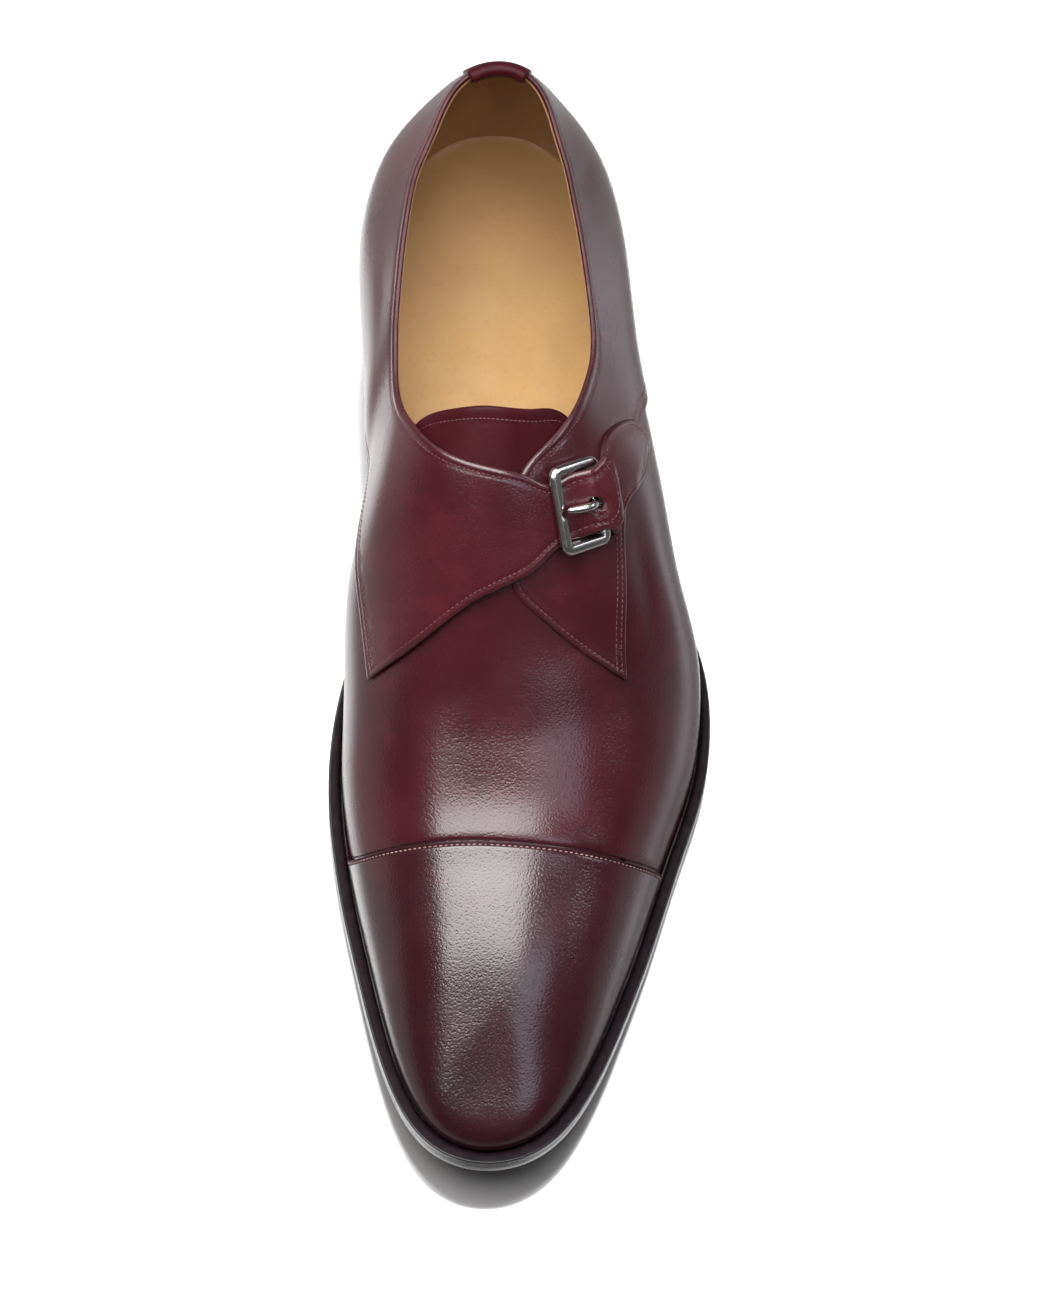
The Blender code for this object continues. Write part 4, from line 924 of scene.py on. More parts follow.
# How far along a stitch each of its rings lies, how high and how thick it is there.
STITCH_RINGS = ((-0.50, -0.30, 0.30), (-0.40, 0.05, 0.80), (-0.15, 0.30, 1.00), (0.15, 0.30, 1.00),
                (0.40, 0.05, 0.80), (0.50, -0.30, 0.30))


def beside(line, distance):
    """A line moved sideways, to its left for a positive distance."""
    return line + left_of(unit(np.gradient(line, axis=0))) * distance


def inset_line(sheet, line, distance):
    """A line moved into a sheet, with what is left outside it or too close to its other edges taken off."""
    best = []
    for way in (1, -1):
        moved = beside(line, way * distance)
        moved = moved[sheet.holds(moved)]
        moved = moved[distance_to_line(moved, line) > distance * 0.93]
        best = max(best, moved, key=len)
    return best


def inset_rows(sheet, *rows):
    """Rows of stitches inside a sheet, from (line, distance) pairs."""
    return [(sheet, inset_line(sheet, line, distance)) for line, distance in rows]


def bartack(sheet, line, start=4.5, pitch=0.75):
    """Short rows across a double seam, side by side, from a distance along the seam."""
    sides = [inset_line(sheet, line, distance) for distance in (1.2, 3.7)]
    return [(sheet, np.array([along_line(side, start + pitch * k) for side in sides])) for k in range(4)]


def stitch_faces():
    """Triangles of one stitch, its corners counted round each ring in turn."""
    count = len(STITCH_RINGS)
    walls = [t for a, b, c, d in wall_faces(count, STITCH_SIDES) for t in ((a, b, c), (a, c, d))]
    first = [(0, k, k + 1) for k in range(1, STITCH_SIDES - 1)]
    last = [tuple(v + (count - 1) * STITCH_SIDES for v in face) for face in first]
    return np.array(walls + [face[::-1] for face in first] + last)


def stitches(name, rows, material, pitch=1.4, width=0.33, share=0.78):
    """Rows of stitches, each a short rod that dips into the leather at both ends. A row is a sheet and a line."""
    verts = []
    faces = []
    angles = [2 * math.pi * k / STITCH_SIDES for k in range(STITCH_SIDES)]
    for sheet, line in rows:
        length = lengths(line)[-1]
        joints = along_line(line, np.linspace(0, length, max(2, int(length / pitch)) + 1))
        centre = (joints[1:] + joints[:-1]) / 2
        half = (joints[1:] - joints[:-1]) * share
        rings = []
        for along, lift, size in STITCH_RINGS:
            high, turn, girth = sheet.top(centre + half * along)
            rings.append((skin(turn, girth, high + (lift - 0.1) * STITCH_HEAVE), skin_frame(turn, girth)[1], size))
        run = unit(rings[-1][0] - rings[0][0])
        stitch = np.arange(len(centre))[:, None]
        faces.append(sum(len(v) for v in verts) + stitch_faces()[:, None] * len(centre) + stitch)
        for point, normal, size in rings:
            side = unit(np.cross(run, normal))
            for angle in angles:
                verts.append(point + (side * math.cos(angle) + normal * math.sin(angle) * 0.8) * (width / 2 * size))
    faces = np.concatenate([f.reshape(-1, 3) for f in faces])
    return piece(name, np.concatenate(verts), faces, material, by_volume=False)


# ----------------------------- materials


def darker(colour, share):
    return tuple(c * share for c in colour)


class Nodes:
    """A material or world whose nodes are added by short calls."""

    def __init__(self, owner, shader="Principled BSDF", places="Object"):
        owner.use_nodes = True
        self.owner = owner
        self.tree = owner.node_tree
        self.shader = self.tree.nodes[shader]
        self.places = self.add("ShaderNodeTexCoord").outputs[places]

    def fill(self, socket, value):
        """Sets a socket to a number or a colour, or links another node to it."""
        if isinstance(value, bpy.types.NodeSocket):
            self.tree.links.new(value, socket)
        else:
            socket.default_value = (*value, 1) if socket.type == "RGBA" else value

    def add(self, kind, sockets=(), **values):
        """A node with its settings, and its sockets filled from (name or number, value) pairs."""
        node = self.tree.nodes.new(kind)
        for key, value in values.items():
            setattr(node, key, value)
        for key, value in sockets:
            self.fill(node.inputs[key], value)
        return node

    def noise(self, scale, detail=3.0, roughness=0.55, stretch=None):
        places = self.places
        if stretch is not None:
            mapping = self.add("ShaderNodeMapping", (("Scale", stretch), ("Vector", places)))
            places = mapping.outputs["Vector"]
        sockets = (("Scale", scale), ("Detail", detail), ("Roughness", roughness), ("Vector", places))
        return self.add("ShaderNodeTexNoise", sockets).outputs["Fac"]

    def cells(self, scale):
        return self.add("ShaderNodeTexVoronoi", (("Scale", scale), ("Vector", self.places))).outputs["Distance"]

    def along(self, axis):
        return self.add("ShaderNodeSeparateXYZ", (("Vector", self.places),)).outputs[axis]

    def ramp(self, value, low, high, start=0.0, end=1.0):
        sockets = (("Value", value), ("From Min", low), ("From Max", high), ("To Min", start), ("To Max", end))
        return self.add("ShaderNodeMapRange", sockets, interpolation_type="SMOOTHSTEP").outputs["Result"]

    def sum(self, a, b, kind="ADD"):
        return self.add("ShaderNodeMath", ((0, a), (1, b)), operation=kind).outputs["Value"]

    def times(self, a, b):
        return self.sum(a, b, "MULTIPLY")

    def mix(self, share, a, b):
        # The colour sockets of a mix node come after its sockets for numbers and vectors.
        return self.add("ShaderNodeMix", ((0, share), (6, a), (7, b)), data_type="RGBA").outputs[2]

    def bump(self, height, strength, distance):
        sockets = (("Strength", strength), ("Distance", distance), ("Height", height))
        return self.add("ShaderNodeBump", sockets).outputs["Normal"]

    def finish(self, **sockets):
        """Fills the shader's sockets and gives back the material or world."""
        for name, value in sockets.items():
            self.fill(self.shader.inputs[name.replace("_", " ")], value)
        return self.owner


def new_material(name):
    return Nodes(bpy.data.materials.new(name))


def calf(name, deep, mid, light, wax, burnish=0.0, haze=0.0, specular=0.5):
    """Polished calf: soft clouds of colour, darker towards the toe, with a fine grain under a wax shine."""
    n = new_material(name)
    colour = n.mix(n.ramp(n.noise(26.0, 4.0), 0.34, 0.66), deep, mid)
    blotches = n.ramp(n.noise(75.0), 0.52, 0.74)
    colour = n.mix(n.times(blotches, 0.45), colour, light)
    speckle = n.ramp(n.noise(900.0, 2.0), 0.42, 0.72)
    colour = n.mix(n.times(speckle, 0.16), colour, darker(deep, 0.45))
    if burnish:
        toe = n.ramp(n.along("Y"), -0.055, -0.150)
        broken = n.ramp(n.noise(38.0), 0.2, 0.8, 0.65, 1.15)
        share = n.sum(n.times(n.times(toe, broken), burnish), 1.0, "MINIMUM")
        colour = n.mix(share, colour, darker(deep, 0.32))
    rough = n.ramp(n.noise(55.0), 0.3, 0.7, 0.22 + haze, 0.29 + haze)
    pores = n.ramp(n.cells(1300.0), 0.0, 0.6)
    normal = n.bump(n.sum(n.times(pores, 0.7), n.noise(1400.0, 2.0, 0.65)), 0.5, 0.00007)
    return n.finish(Base_Color=colour, Roughness=rough, Normal=normal, Coat_Normal=normal, Coat_Weight=wax,
                    Coat_Roughness=0.19, Coat_IOR=1.5, IOR=1.45, Specular_IOR_Level=specular)


def cut_leather(name, deep, light, specular):
    """Dyed cut edges, nearly matt; also painted shade by the cap's seam, painted edge sheen and a painted welt
    reflection.
    """
    n = new_material(name)
    return n.finish(
        Base_Color=n.mix(n.ramp(n.noise(300.0), 0.3, 0.7), deep, light),
        Roughness=n.ramp(n.noise(400.0, 2.0), 0.3, 0.7, 0.42, 0.58),
        Normal=n.bump(n.noise(1600.0, 2.0), 0.3, 0.0001),
        Specular_IOR_Level=specular,
    )


def lining_leather(name, deep, light, rough=0.55, grain=1700.0, heel_shade=0.0):
    """Undyed lining leather: matt, with soft clouds, fine specks and a fine grain, and optional painted shade
    towards the heel.
    """
    n = new_material(name)
    colour = n.mix(n.ramp(n.noise(32.0, 4.0), 0.3, 0.7), deep, light)
    if heel_shade:
        # Painted shade: the colour darkens towards the heel, where the back wall shades the sock.
        heel = n.ramp(n.along("Y"), 0.060, 0.135)
        colour = n.mix(n.times(heel, heel_shade), colour, darker(deep, 0.4))
    specks = n.ramp(n.noise(620.0), 0.5, 0.78)
    pores = n.ramp(n.cells(grain * 0.6), 0.0, 0.5)
    return n.finish(
        Base_Color=n.mix(n.times(specks, 0.22), colour, darker(deep, 0.6)),
        Roughness=n.ramp(n.noise(90.0, 2.0), 0.3, 0.7, rough - 0.05, rough + 0.08),
        Normal=n.bump(n.sum(n.noise(grain, 3.0, 0.6), n.times(pores, 0.4)), 0.28, 0.00014),
        Specular_IOR_Level=0.25,
    )


def edge_dressing(name):
    """The sole's edge: black wax over leather, with the faint lines of the iron."""
    n = new_material(name)
    height = n.sum(n.noise(500.0, 3.0, 0.6, (1.0, 1.0, 5.0)), n.times(n.noise(2200.0, 2.0), 0.5))
    return n.finish(
        Base_Color=n.mix(n.ramp(n.noise(60.0), 0.35, 0.7), (0.010, 0.009, 0.010), (0.022, 0.019, 0.020)),
        Roughness=n.ramp(n.noise(90.0, 3.0, 0.6, (1.0, 1.0, 6.0)), 0.3, 0.75, 0.20, 0.34),
        Normal=n.bump(height, 0.06, 0.00010),
        Specular_IOR_Level=0.33,
    )


def sole_leather(name):
    """The underside: dark smooth leather, a little scuffed."""
    n = new_material(name)
    colour = n.mix(n.ramp(n.noise(22.0, 5.0), 0.3, 0.7), (0.050, 0.030, 0.021), (0.082, 0.051, 0.036))
    scuffs = n.ramp(n.noise(140.0, 4.0, 0.7, (3.0, 0.4, 1.0)), 0.58, 0.75)
    return n.finish(
        Base_Color=n.mix(n.times(scuffs, 0.3), colour, (0.12, 0.085, 0.06)),
        Roughness=n.ramp(n.noise(70.0), 0.3, 0.7, 0.42, 0.60),
        Normal=n.bump(n.sum(n.noise(1300.0), n.ramp(n.cells(800.0), 0.0, 0.6)), 0.2, 0.00015),
    )


def heel_rubber(name):
    n = new_material(name)
    return n.finish(
        Base_Color=n.mix(n.ramp(n.noise(40.0), 0.3, 0.7), (0.012, 0.012, 0.012), (0.022, 0.021, 0.021)),
        Roughness=n.ramp(n.noise(160.0), 0.3, 0.7, 0.55, 0.72),
        Normal=n.bump(n.noise(2600.0, 2.0), 0.25, 0.0001),
    )


def nickel_plate(name):
    """Polished nickel with a darker tint and the hair scratches of handling."""
    n = new_material(name)
    return n.finish(
        Base_Color=n.mix(n.ramp(n.noise(120.0, 2.0), 0.3, 0.7), (0.50, 0.482, 0.455), (0.62, 0.600, 0.570)),
        Roughness=n.ramp(n.noise(800.0, 3.0, 0.6, (1.0, 5.0, 1.0)), 0.3, 0.75, 0.17, 0.27),
        Normal=n.bump(n.noise(1600.0, 2.0, 0.6, (1.0, 6.0, 1.0)), 0.02, 0.00003),
        Metallic=1.0,
    )


def waxed_thread(name, deep, light):
    n = new_material(name)
    return n.finish(
        Base_Color=n.mix(n.ramp(n.noise(260.0, 2.0), 0.35, 0.65), deep, light),
        Roughness=n.ramp(n.noise(400.0, 2.0), 0.3, 0.7, 0.45, 0.6),
        Normal=n.bump(n.noise(5200.0, 1.0, 0.5, (1.0, 0.5, 1.0)), 0.4, 0.00008),
    )


# ----------------------------- the sole's parts


def sole_edge(extra):
    """A reach that follows the edge rows."""
    return lambda side, turns: EDGE_OUT[side > 0](turns) + extra


def above_feather(turns, side, up):
    """Girth shares some millimetres above the feather line of one side."""
    return side * (1 - up / edge_distance(turns, side * 1e-6))


def beside_upper(extra):
    """A reach that clears the upper's lowest few millimetres."""

    def reach(side, turns):
        foot = last_point(turns, side)
        _, _, _, outward = rib(turns, side)
        out = np.full(len(turns), LASTED_EDGE)
        for up in (0.8, 1.6, 2.4, 3.2):
            high = (QUARTER_LEATHER - LASTED_EDGE) * smooth_step(up, LASTED_START, LASTED_HEIGHT) + LASTED_EDGE
            point = skin(turns, above_feather(turns, side, up), high)
            out = np.maximum(out, ((point - foot)[:, :2] * outward).sum(axis=1))
        return out + extra

    return reach


def sole_loop(reach, count=FEATHER_STEPS):
    """The bottom's outline on the outer and on the inner side, from the back to the toe, standing out from the
    feather line by a reach."""
    turns = np.linspace(0, 1, count + 1)
    rows = []
    for side in (1, -1):
        foot = last_point(turns, side)[:, :2]
        normal = left_of(np.gradient(foot, axis=0)) * side
        normal[[0, -1]] = (0, 1), (0, -1)
        rows.append(foot + unit(normal) * reach(side, turns)[:, None])
    return rows


def at_height(points, height):
    """Level points raised to a height that depends on the station."""
    return np.column_stack([points, height(ORIGIN_STATION - points[:, 1])])


def ring(sides, height):
    """Points round the sole, down its outer side and back up its inner side."""
    outer, inner = sides
    return at_height(np.concatenate([outer, inner[-2:0:-1]]), height)


def plate(name, rings, material, bottom, across=14):
    """A closed plate: rings from the bottom up, each an outline (outer side, inner side) and a height function.
    The bottom material is on the underside and the two lowest bands of the edge."""
    verts = [ring(*row) for row in rings]
    size = len(verts[0])
    faces = wall_faces(len(rings), size)
    kinds = [1] * (2 * size) + [0] * (len(faces) - 2 * size)
    shares = np.linspace(0, 1, across + 1)[1:-1, None]
    for level, upward in ((0, False), (len(rings) - 1, True)):
        (outer, inner), height = rings[level]
        names = np.tile(level * size + np.arange(len(outer))[:, None], across + 1)
        names[1:-1, 0] = (level + 1) * size - np.arange(1, len(outer) - 1)
        middle = (inner[1:-1, None] * (1 - shares) + outer[1:-1, None] * shares).reshape(-1, 2)
        names[1:-1, 1:-1] = (sum(len(v) for v in verts) + np.arange(len(middle))).reshape(-1, across - 1)
        verts.append(at_height(middle, height))
        for a, b in zip(names[:-1], names[1:]):
            for j in range(across):
                face = tuple(dict.fromkeys((a[j], a[j + 1], b[j + 1], b[j])))
                if len(face) > 2:
                    faces.append(face if upward else face[::-1])
                    kinds.append(0 if upward else 1)
    return piece(name, np.concatenate(verts), faces, material, kinds=kinds, second=bottom)


def heel_loop(inset, breast):
    """The heel's outline: the sole's edge from the breast round the back, and a slightly hollow breast."""
    outer, inner = sole_loop(sole_edge(-inset), 200)
    rim = []
    for line in (inner, outer):
        stations = ORIGIN_STATION - line[:, 1]
        x = np.interp(breast, stations, line[:, 0])
        rim.append(np.concatenate([line[stations < breast - 0.6], [(x, ORIGIN_STATION - breast)]]))
    back = np.concatenate([rim[0][::-1], rim[1][1:]])
    back = along_line(back, np.linspace(0, lengths(back)[-1], 110))
    shares = np.linspace(0, 1, 27)[1:-1, None]
    front = back[-1] * (1 - shares) + back[0] * shares + (0, 1) * (BREAST_HOLLOW * 4 * shares * (1 - shares))
    return np.concatenate([back, front])


def heel_part(name, levels, material):
    """A block of the heel from rows of (height, inset from the sole's edge), from the bottom up."""
    loops = [(z, heel_loop(inset, HEEL_BREAST - inset * 0.6)) for z, inset in levels]
    verts = [(*p, z) for z, loop in loops for p in loop]
    faces = rod_faces(len(loops), len(verts) // len(loops))
    item = piece(name, verts, faces, material)
    item.data.polygons.foreach_set("use_smooth", [len(f) < 5 for f in faces])
    return item


def make_welt(material, top):
    """A strip all round on top of the outsole, outside the upper's lasted edge, with its edges eased."""
    height = GAP + WELT
    rows = (
        (beside_upper(0.05), 0.02),
        (sole_edge(-0.06), 0.02),
        (sole_edge(0.0), 0.08),
        (sole_edge(0.0), 0.16),
        (sole_edge(0.0), height - 0.5),
        (sole_edge(0.0), height - 0.42),
        (sole_edge(-0.12), height - 0.12),
        (sole_edge(-0.42), height),
        (beside_upper(1.0), height - 0.05),
        (beside_upper(0.45), height - 0.2),
        (beside_upper(0.05), height - 0.6),
    )
    verts = [ring(sole_loop(reach), lambda station: bed_z(station) + up) for reach, up in rows]
    size = len(verts[0])
    # The top's look, black with a purple tint painted as the upper's reflection, lies between the eighth row and
    # the eleventh.
    kinds = [0] * (7 * size) + [1] * (3 * size) + [0] * size
    faces = wall_faces(len(rows), size, closed=True)
    return piece("welt_strip", np.concatenate(verts), faces, material, kinds=kinds, second=top)


def make_sock(material):
    """The sock over the insole, out to the lining, with a soft rise at its edge."""
    turns = np.linspace(0, 1, 141)
    outer, inner = (skin(turns, above_feather(turns, side, 3.9), -WALL + 0.1)[:, None, :2] for side in (1, -1))
    shares = np.linspace(0, 1, 25)[:, None]
    level = inner * (1 - shares) + outer * shares
    to_side = (np.linalg.norm(outer - inner, axis=2, keepdims=True) * np.minimum(shares, 1 - shares)).reshape(-1)
    verts = at_height(level.reshape(-1, 2), bed_z)
    verts[:, 2] += GAP + INSOLE - 0.05 + 0.9 * np.exp(-to_side / 2.2)
    verts = np.concatenate([verts, verts - (0, 0, 1.2)])
    return piece("sock", verts, slab_faces(len(turns), len(shares)), material, weld=0.01)


# ----------------------------- hardware

PRONG_REST = 0.6
BAR_INWARD = 0.65
# Where each corner of a rectangle lies, and the angle at which its rounding starts.
CORNERS = ((1, 1, 0), (-1, 1, 90), (-1, -1, 180), (1, -1, 270))
PRONG_ROWS = (
    # station, girth, lift, width, thickness
    (133.9, 0.286, 6.1, 1.9, 1.1),
    (134.8, 0.266, 8.2, 2.0, 1.6),
    (135.5, 0.250, 9.2, 2.1, 1.9),
    (136.4, 0.231, 8.9, 2.1, 2.0),
    (137.1, 0.214, 8.0, 2.0, 1.9),
    (137.6, 0.201, 7.2, 1.7, 1.6),
    (137.8, 0.196, 6.9, 0.7, 0.7),
)


def on_skin(station, girth, lift):
    return skin(turn_at(station), girth, lift)[0]


def buckle_frame():
    """Middle of the buckle, and its directions along the bars, outward across the foot and up from the leather."""
    corners = np.array([on_skin(*corner) for corner in BUCKLE_CORNERS])
    along = unit(corners[1] - corners[0] + corners[2] - corners[3])
    across = corners[3] - corners[0] + corners[2] - corners[1]
    across = unit(across - along * (across @ along))
    return corners.mean(axis=0), along, across, np.cross(along, across)


def rounded_corner(corner, half_wide, half_high, radius, steps):
    """Points round one corner of a rectangle."""
    x, y, start = corner
    angles = [math.radians(start + 90 * k / steps) for k in range(steps + 1)]
    return [(x * (half_wide - radius) + radius * math.cos(a), y * (half_high - radius) + radius * math.sin(a))
            for a in angles]


def bar_section():
    """Corners of a buckle bar: a flat face between two bevels, the inner one wider. Its inner side comes first."""
    out, half = BAR_WIDE / 2, BAR_THICK / 2
    near = out + BAR_INWARD
    return [(out - 0.05, -half + 0.3), (out, -half + 0.5), (out, half - 0.75), (out - 0.08, half - 0.6),
            (out - 0.62, half - 0.06), (out - 0.75, half), (-near + 1.15, half), (-near + 1.0, half - 0.06),
            (-near + 0.1, half - 0.95), (-near, half - 1.15), (-near, -half + 0.5), (-near + 0.05, -half + 0.3),
            (-near + 0.35, -half), (out - 0.35, -half)]


def sweep(path, side, up, sections):
    """Points of a rod through a path, with a section of its own at each point."""
    return [point + s * a + u * b for point, s, u, section in zip(path, side, up, sections) for a, b in section]


def make_buckle(material):
    """A rectangular frame with eased edges and a notch for the prong. Its outer bar, under the strap, is a rod."""
    middle, along, across, up = buckle_frame()
    half_long = BUCKLE_HALF_LONG - BAR_WIDE / 2
    half_wide = BUCKLE_HALF_WIDE - BAR_WIDE / 2
    round_off = 1.7
    path = []
    sections = []
    plain = bar_section()
    turns = [2 * math.pi * (k - 2.5) / len(plain) for k in range(len(plain))]
    rod = [(math.cos(t) * HINGE_ROD / 2, math.sin(t) * HINGE_ROD / 2) for t in turns]

    def add(points, shapes):
        path.extend(points)
        sections.extend(shapes)

    def outer_bar(start, end, count, section):
        shares = np.linspace(0, 1, count + 2)[1:-1]
        add([(start * (1 - t) + end * t, half_wide) for t in shares], [section] * count)

    def notched(x):
        """The bar's section with its inner, upper corner filed down where the prong lies."""
        near = max(0.0, 1 - abs(x - PRONG_REST) / 1.9)
        cuts = [near if a < -0.6 and b > -0.2 else 0 for a, b in plain]
        return [(a + 1.1 * cut, b - 0.5 * cut) for (a, b), cut in zip(plain, cuts)]

    steps = 6
    for index, corner in enumerate(CORNERS):
        add(rounded_corner(corner, half_long, half_wide, round_off, steps), [plain] * (steps + 1))
        if index == 0:
            outer_bar(half_long - 1.9, half_long - 2.5, 1, plain)
            outer_bar(half_long - 2.5, -half_long + 2.5, 8, rod)
            outer_bar(-half_long + 2.5, -half_long + 1.9, 1, plain)
        if index == 2:
            places = np.linspace(-1, 1, 31) * (half_long - round_off - 0.4)
            add([(x, -half_wide) for x in places], [notched(x) for x in places])
    path = np.array(path)
    before, after = headings(path)
    run = unit(before + after)
    points = middle + path[:, :1] * along + path[:, 1:] * across
    side = run[:, 1:] * along - run[:, :1] * across
    verts = sweep(points, side, np.tile(up, (len(path), 1)), sections)
    return piece("buckle", verts, wall_faces(len(path), len(plain), closed=True), material)


def make_prong(material):
    """Looped round the outer bar, up through the strap's hole and down to the inner bar, with a rounded tip."""
    middle, along, across, up = buckle_frame()
    bar = middle + across * (BUCKLE_HALF_WIDE - BAR_WIDE / 2)
    angles = [math.radians(degrees) for degrees in range(-150, 91, 20)]
    knots = [bar + (across * math.cos(a) + up * math.sin(a)) * 1.6 for a in angles]
    knots = np.array(knots + [on_skin(*row[:3]) for row in PRONG_ROWS])
    sizes = np.array([(2.0, 0.9)] * len(angles) + [row[3:] for row in PRONG_ROWS])
    steps = lengths(knots)
    at = np.concatenate([np.linspace(0, steps[-2], 46), np.linspace(steps[-2], steps[-1], 6)[1:]])
    path = splined(knots, at)
    run = unit(np.gradient(path, axis=0))
    side = unit(along - run * (run @ along)[:, None])
    sections = []
    for wide, thick in zip(np.interp(at, steps, sizes[:, 0]), np.interp(at, steps, sizes[:, 1])):
        radius = min(wide, thick) * 0.46
        sections.append([p for c in CORNERS for p in rounded_corner(c, wide / 2, thick / 2, radius, 4)])
    verts = sweep(path, side, np.cross(run, side), sections)
    return piece("prong_tongue", verts, rod_faces(len(path), len(sections[0])), material)


def make_heel_tab(material):
    """A short strip folded over the collar's edge at the back."""
    girth_per_mm = 1 / 119.0
    thick = 0.62
    middle_lift = (QUARTER_LEATHER - WALL) / 2
    radius = (QUARTER_LEATHER + WALL) / 2 + 0.12
    fold = [(a, middle_lift + radius) for a in np.linspace(13.5, 0.5, 12)]
    fold += [(-radius * math.sin(t), middle_lift + radius * math.cos(t)) for t in np.linspace(0, math.pi, 15)]
    fold += [(a, middle_lift - radius) for a in np.linspace(0.5, 8.5, 9)]
    fold = np.array(fold)
    out = -left_of(unit(np.gradient(fold, axis=0)))
    steps = lengths(fold)
    spread = np.linspace(-1, 1, 29) * TAB_SPREAD
    verts = []
    for layer in (0, 1):
        for s in spread:
            close = np.minimum((TAB_SPREAD - abs(s)) / TAB_SPREAD * 9.4, np.minimum(steps, steps[-1] - steps))
            eased = thick * np.sqrt(np.clip(1 - (1 - np.clip(close / 0.8, 0, 1)) ** 2, 0, 1))
            line = fold + out * (layer * (0.02 + eased))[:, None]
            side = 1.0 if s > 0 else -1.0
            verts.append(skin(abs(s), side * (COLLAR_SHARE + line[:, 0] * girth_per_mm), line[:, 1]))
    faces = slab_faces(len(spread), len(fold), turned=True)
    return piece("heel_loop_tab", np.concatenate(verts), faces, material)


# ----------------------------- the upper

QUARTER_EDGE_ROWS = (0.08, 0.3, 0.7, 1.2, 1.6, 2.0, 2.6, 3.3)
# How far in from their edges the rows of stitches and their channels lie.
SEAM_INS = (1.6, 3.3)
COLLAR_IN = 2.0
STRAP_IN = 1.9
STRAP_END_IN = 2.6
CAP_IN = 0.85
TONGUE_IN = 3.0
STAY_IN = 1.5
LUG_LIFT = 6.0
LEAF_GAP = 0.05


def make_upper_pieces(mats):
    vamp_line = vamp_outline()
    crest = trace(CAP_SEAM)

    def vamp_lifts(points, turn, girth, edge):
        bulge = creases(points)
        step = groove(distance_to_line(points, crest), 0.0, 0.60, 0.9)
        return HIDDEN_LOW + np.minimum(bulge, 0), lasted(turn, girth, bulge + step)

    vamp = Sheet("vamp", vamp_line, vamp_lifts, 1.7, lines=[beside(crest, d) for d in (-2.0, -1.2, 0.45, 0.9, 1.5)],
                 rounding=0.1, rows=(0.6,))

    seam, around = cap_lines()

    def cap_lifts(points, turn, girth, edge):
        bulge = creases(points)
        high = CAP_LEATHER + bulge + groove(edge, CAP_IN, 0.12, 0.35)
        return bulge - 0.25, lasted(turn, girth, high)

    cap = Sheet("toe_cap", join(seam, around), cap_lifts, 1.6, edges=[seam], rounding=0.32, low_rounding=0.1,
                rows=(0.08, 0.25, 0.5, 0.75, 1.0, 1.3, 1.7, 2.3))

    def quarter_low(points, bulge):
        """A quarter's underside, lifted by the vamp's hidden margin below it."""
        return HIDDEN_LOW + 0.5 * (1 - smooth_step(outside_by(points, vamp_line), 0.4, 5.0)) + bulge

    def seam_grooves(points, line):
        """The channels of a double seam and of the seam down the heel."""
        to_seam = distance_to_line(points, line)
        channels = groove(to_seam, SEAM_INS[0], 0.14) + groove(to_seam, SEAM_INS[1], 0.12)
        return channels + groove(distance_to_line(points, heel), 0.0, 0.28, 0.55)

    heel = heel_line(1)
    collar, front, lower, base, back = outer_quarter_lines()
    seams = join(front, lower, closed=False)

    def outer_lifts(points, turn, girth, edge):
        bulge = creases(points)
        channels = seam_grooves(points, seams) + groove(distance_to_line(points, collar), COLLAR_IN, 0.14)
        return quarter_low(points, bulge), lasted(turn, girth, QUARTER_LEATHER + bulge + channels)

    outer = Sheet("quarter_outer", join(collar, front, lower, base, back), outer_lifts, 1.7,
                  edges=[collar, front, lower], rounding=0.78, rows=QUARTER_EDGE_ROWS)

    edge_line, end, low_line, inner_lower, inner_base, inner_back = inner_quarter_lines()
    strap_rim = join(edge_line, end, low_line, closed=False)
    hole_middle = spot(*STRAP_HOLE)
    angles = np.linspace(0, 2 * math.pi, 20, endpoint=False)
    hole = hole_middle + np.stack([np.cos(angles) * 1.9, np.sin(angles) * 1.3], axis=1)

    def inner_lifts(points, turn, girth, edge):
        station = station_of(turn)
        bulge = creases(points)
        arm = smooth_step(girth, -0.52, -0.34) * smooth_step(station, 84.0, 104.0)
        below = strap_lift(station, girth)
        low = quarter_low(points, bulge) * (1 - arm) + below * arm
        high = (QUARTER_LEATHER + bulge) * (1 - arm) + (below + STRAP_LEATHER) * arm
        high = high + seam_grooves(points, inner_lower)
        high = high + groove(distance_to_line(points, strap_rim), STRAP_IN, 0.16)
        high = high + groove(distance_to_line(points, end), 0.95, 0.45, 0.30)
        high = high + groove(np.linalg.norm(points - hole_middle, axis=1), 2.6, 0.18, 0.9)
        return low, lasted(turn, girth, high)

    inner = Sheet("quarter_inner", join(edge_line, end, low_line, inner_lower, inner_base, inner_back), inner_lifts,
                  1.7, holes=[hole], edges=[edge_line, end, low_line, inner_lower], rounding=0.85,
                  rows=QUARTER_EDGE_ROWS)

    opening = join(trace(COLLAR_OUTER), trace(THROAT_END), trace(THROAT_INNER), trace(COLLAR_INNER))
    brink = offset(turned_left(opening), -0.95)

    def lining_lifts(points, turn, girth, edge):
        bulge = np.minimum(creases(points), 0)
        skived = 0.55 * (1 - smooth_step(edge, 0.3, 6.0))
        return -WALL + skived + bulge, LINING_TOP + bulge

    lining = Sheet("lining", feather_loop(), lining_lifts, 2.6, holes=[brink], edges=[brink], rounding=0.45,
                   rows=(0.15, 0.5, 1.2))

    tongue_edge = trace(TONGUE_TOP)
    tongue_line = join(tongue_edge, trace(TONGUE_OUTER), trace(TONGUE_FRONT), trace(TONGUE_INNER))

    def tongue_lifts(points, turn, girth, edge):
        tucked = smooth_step(station_of(turn), 143.0, 151.5)
        beside_wing = smooth_step(girth, 0.04, 0.12) * (1 - tucked)
        high = -(WALL + GAP + SLACK) * tucked - 0.7 * beside_wing
        return high - TONGUE_LEATHER, high + groove(distance_to_line(points, tongue_edge), TONGUE_IN, 0.16)

    tongue = Sheet("tongue_leather", tongue_line, tongue_lifts, 1.5, rounding=0.8,
                   rows=(0.1, 0.35, 0.8, 1.4, 2.2, 3.0))

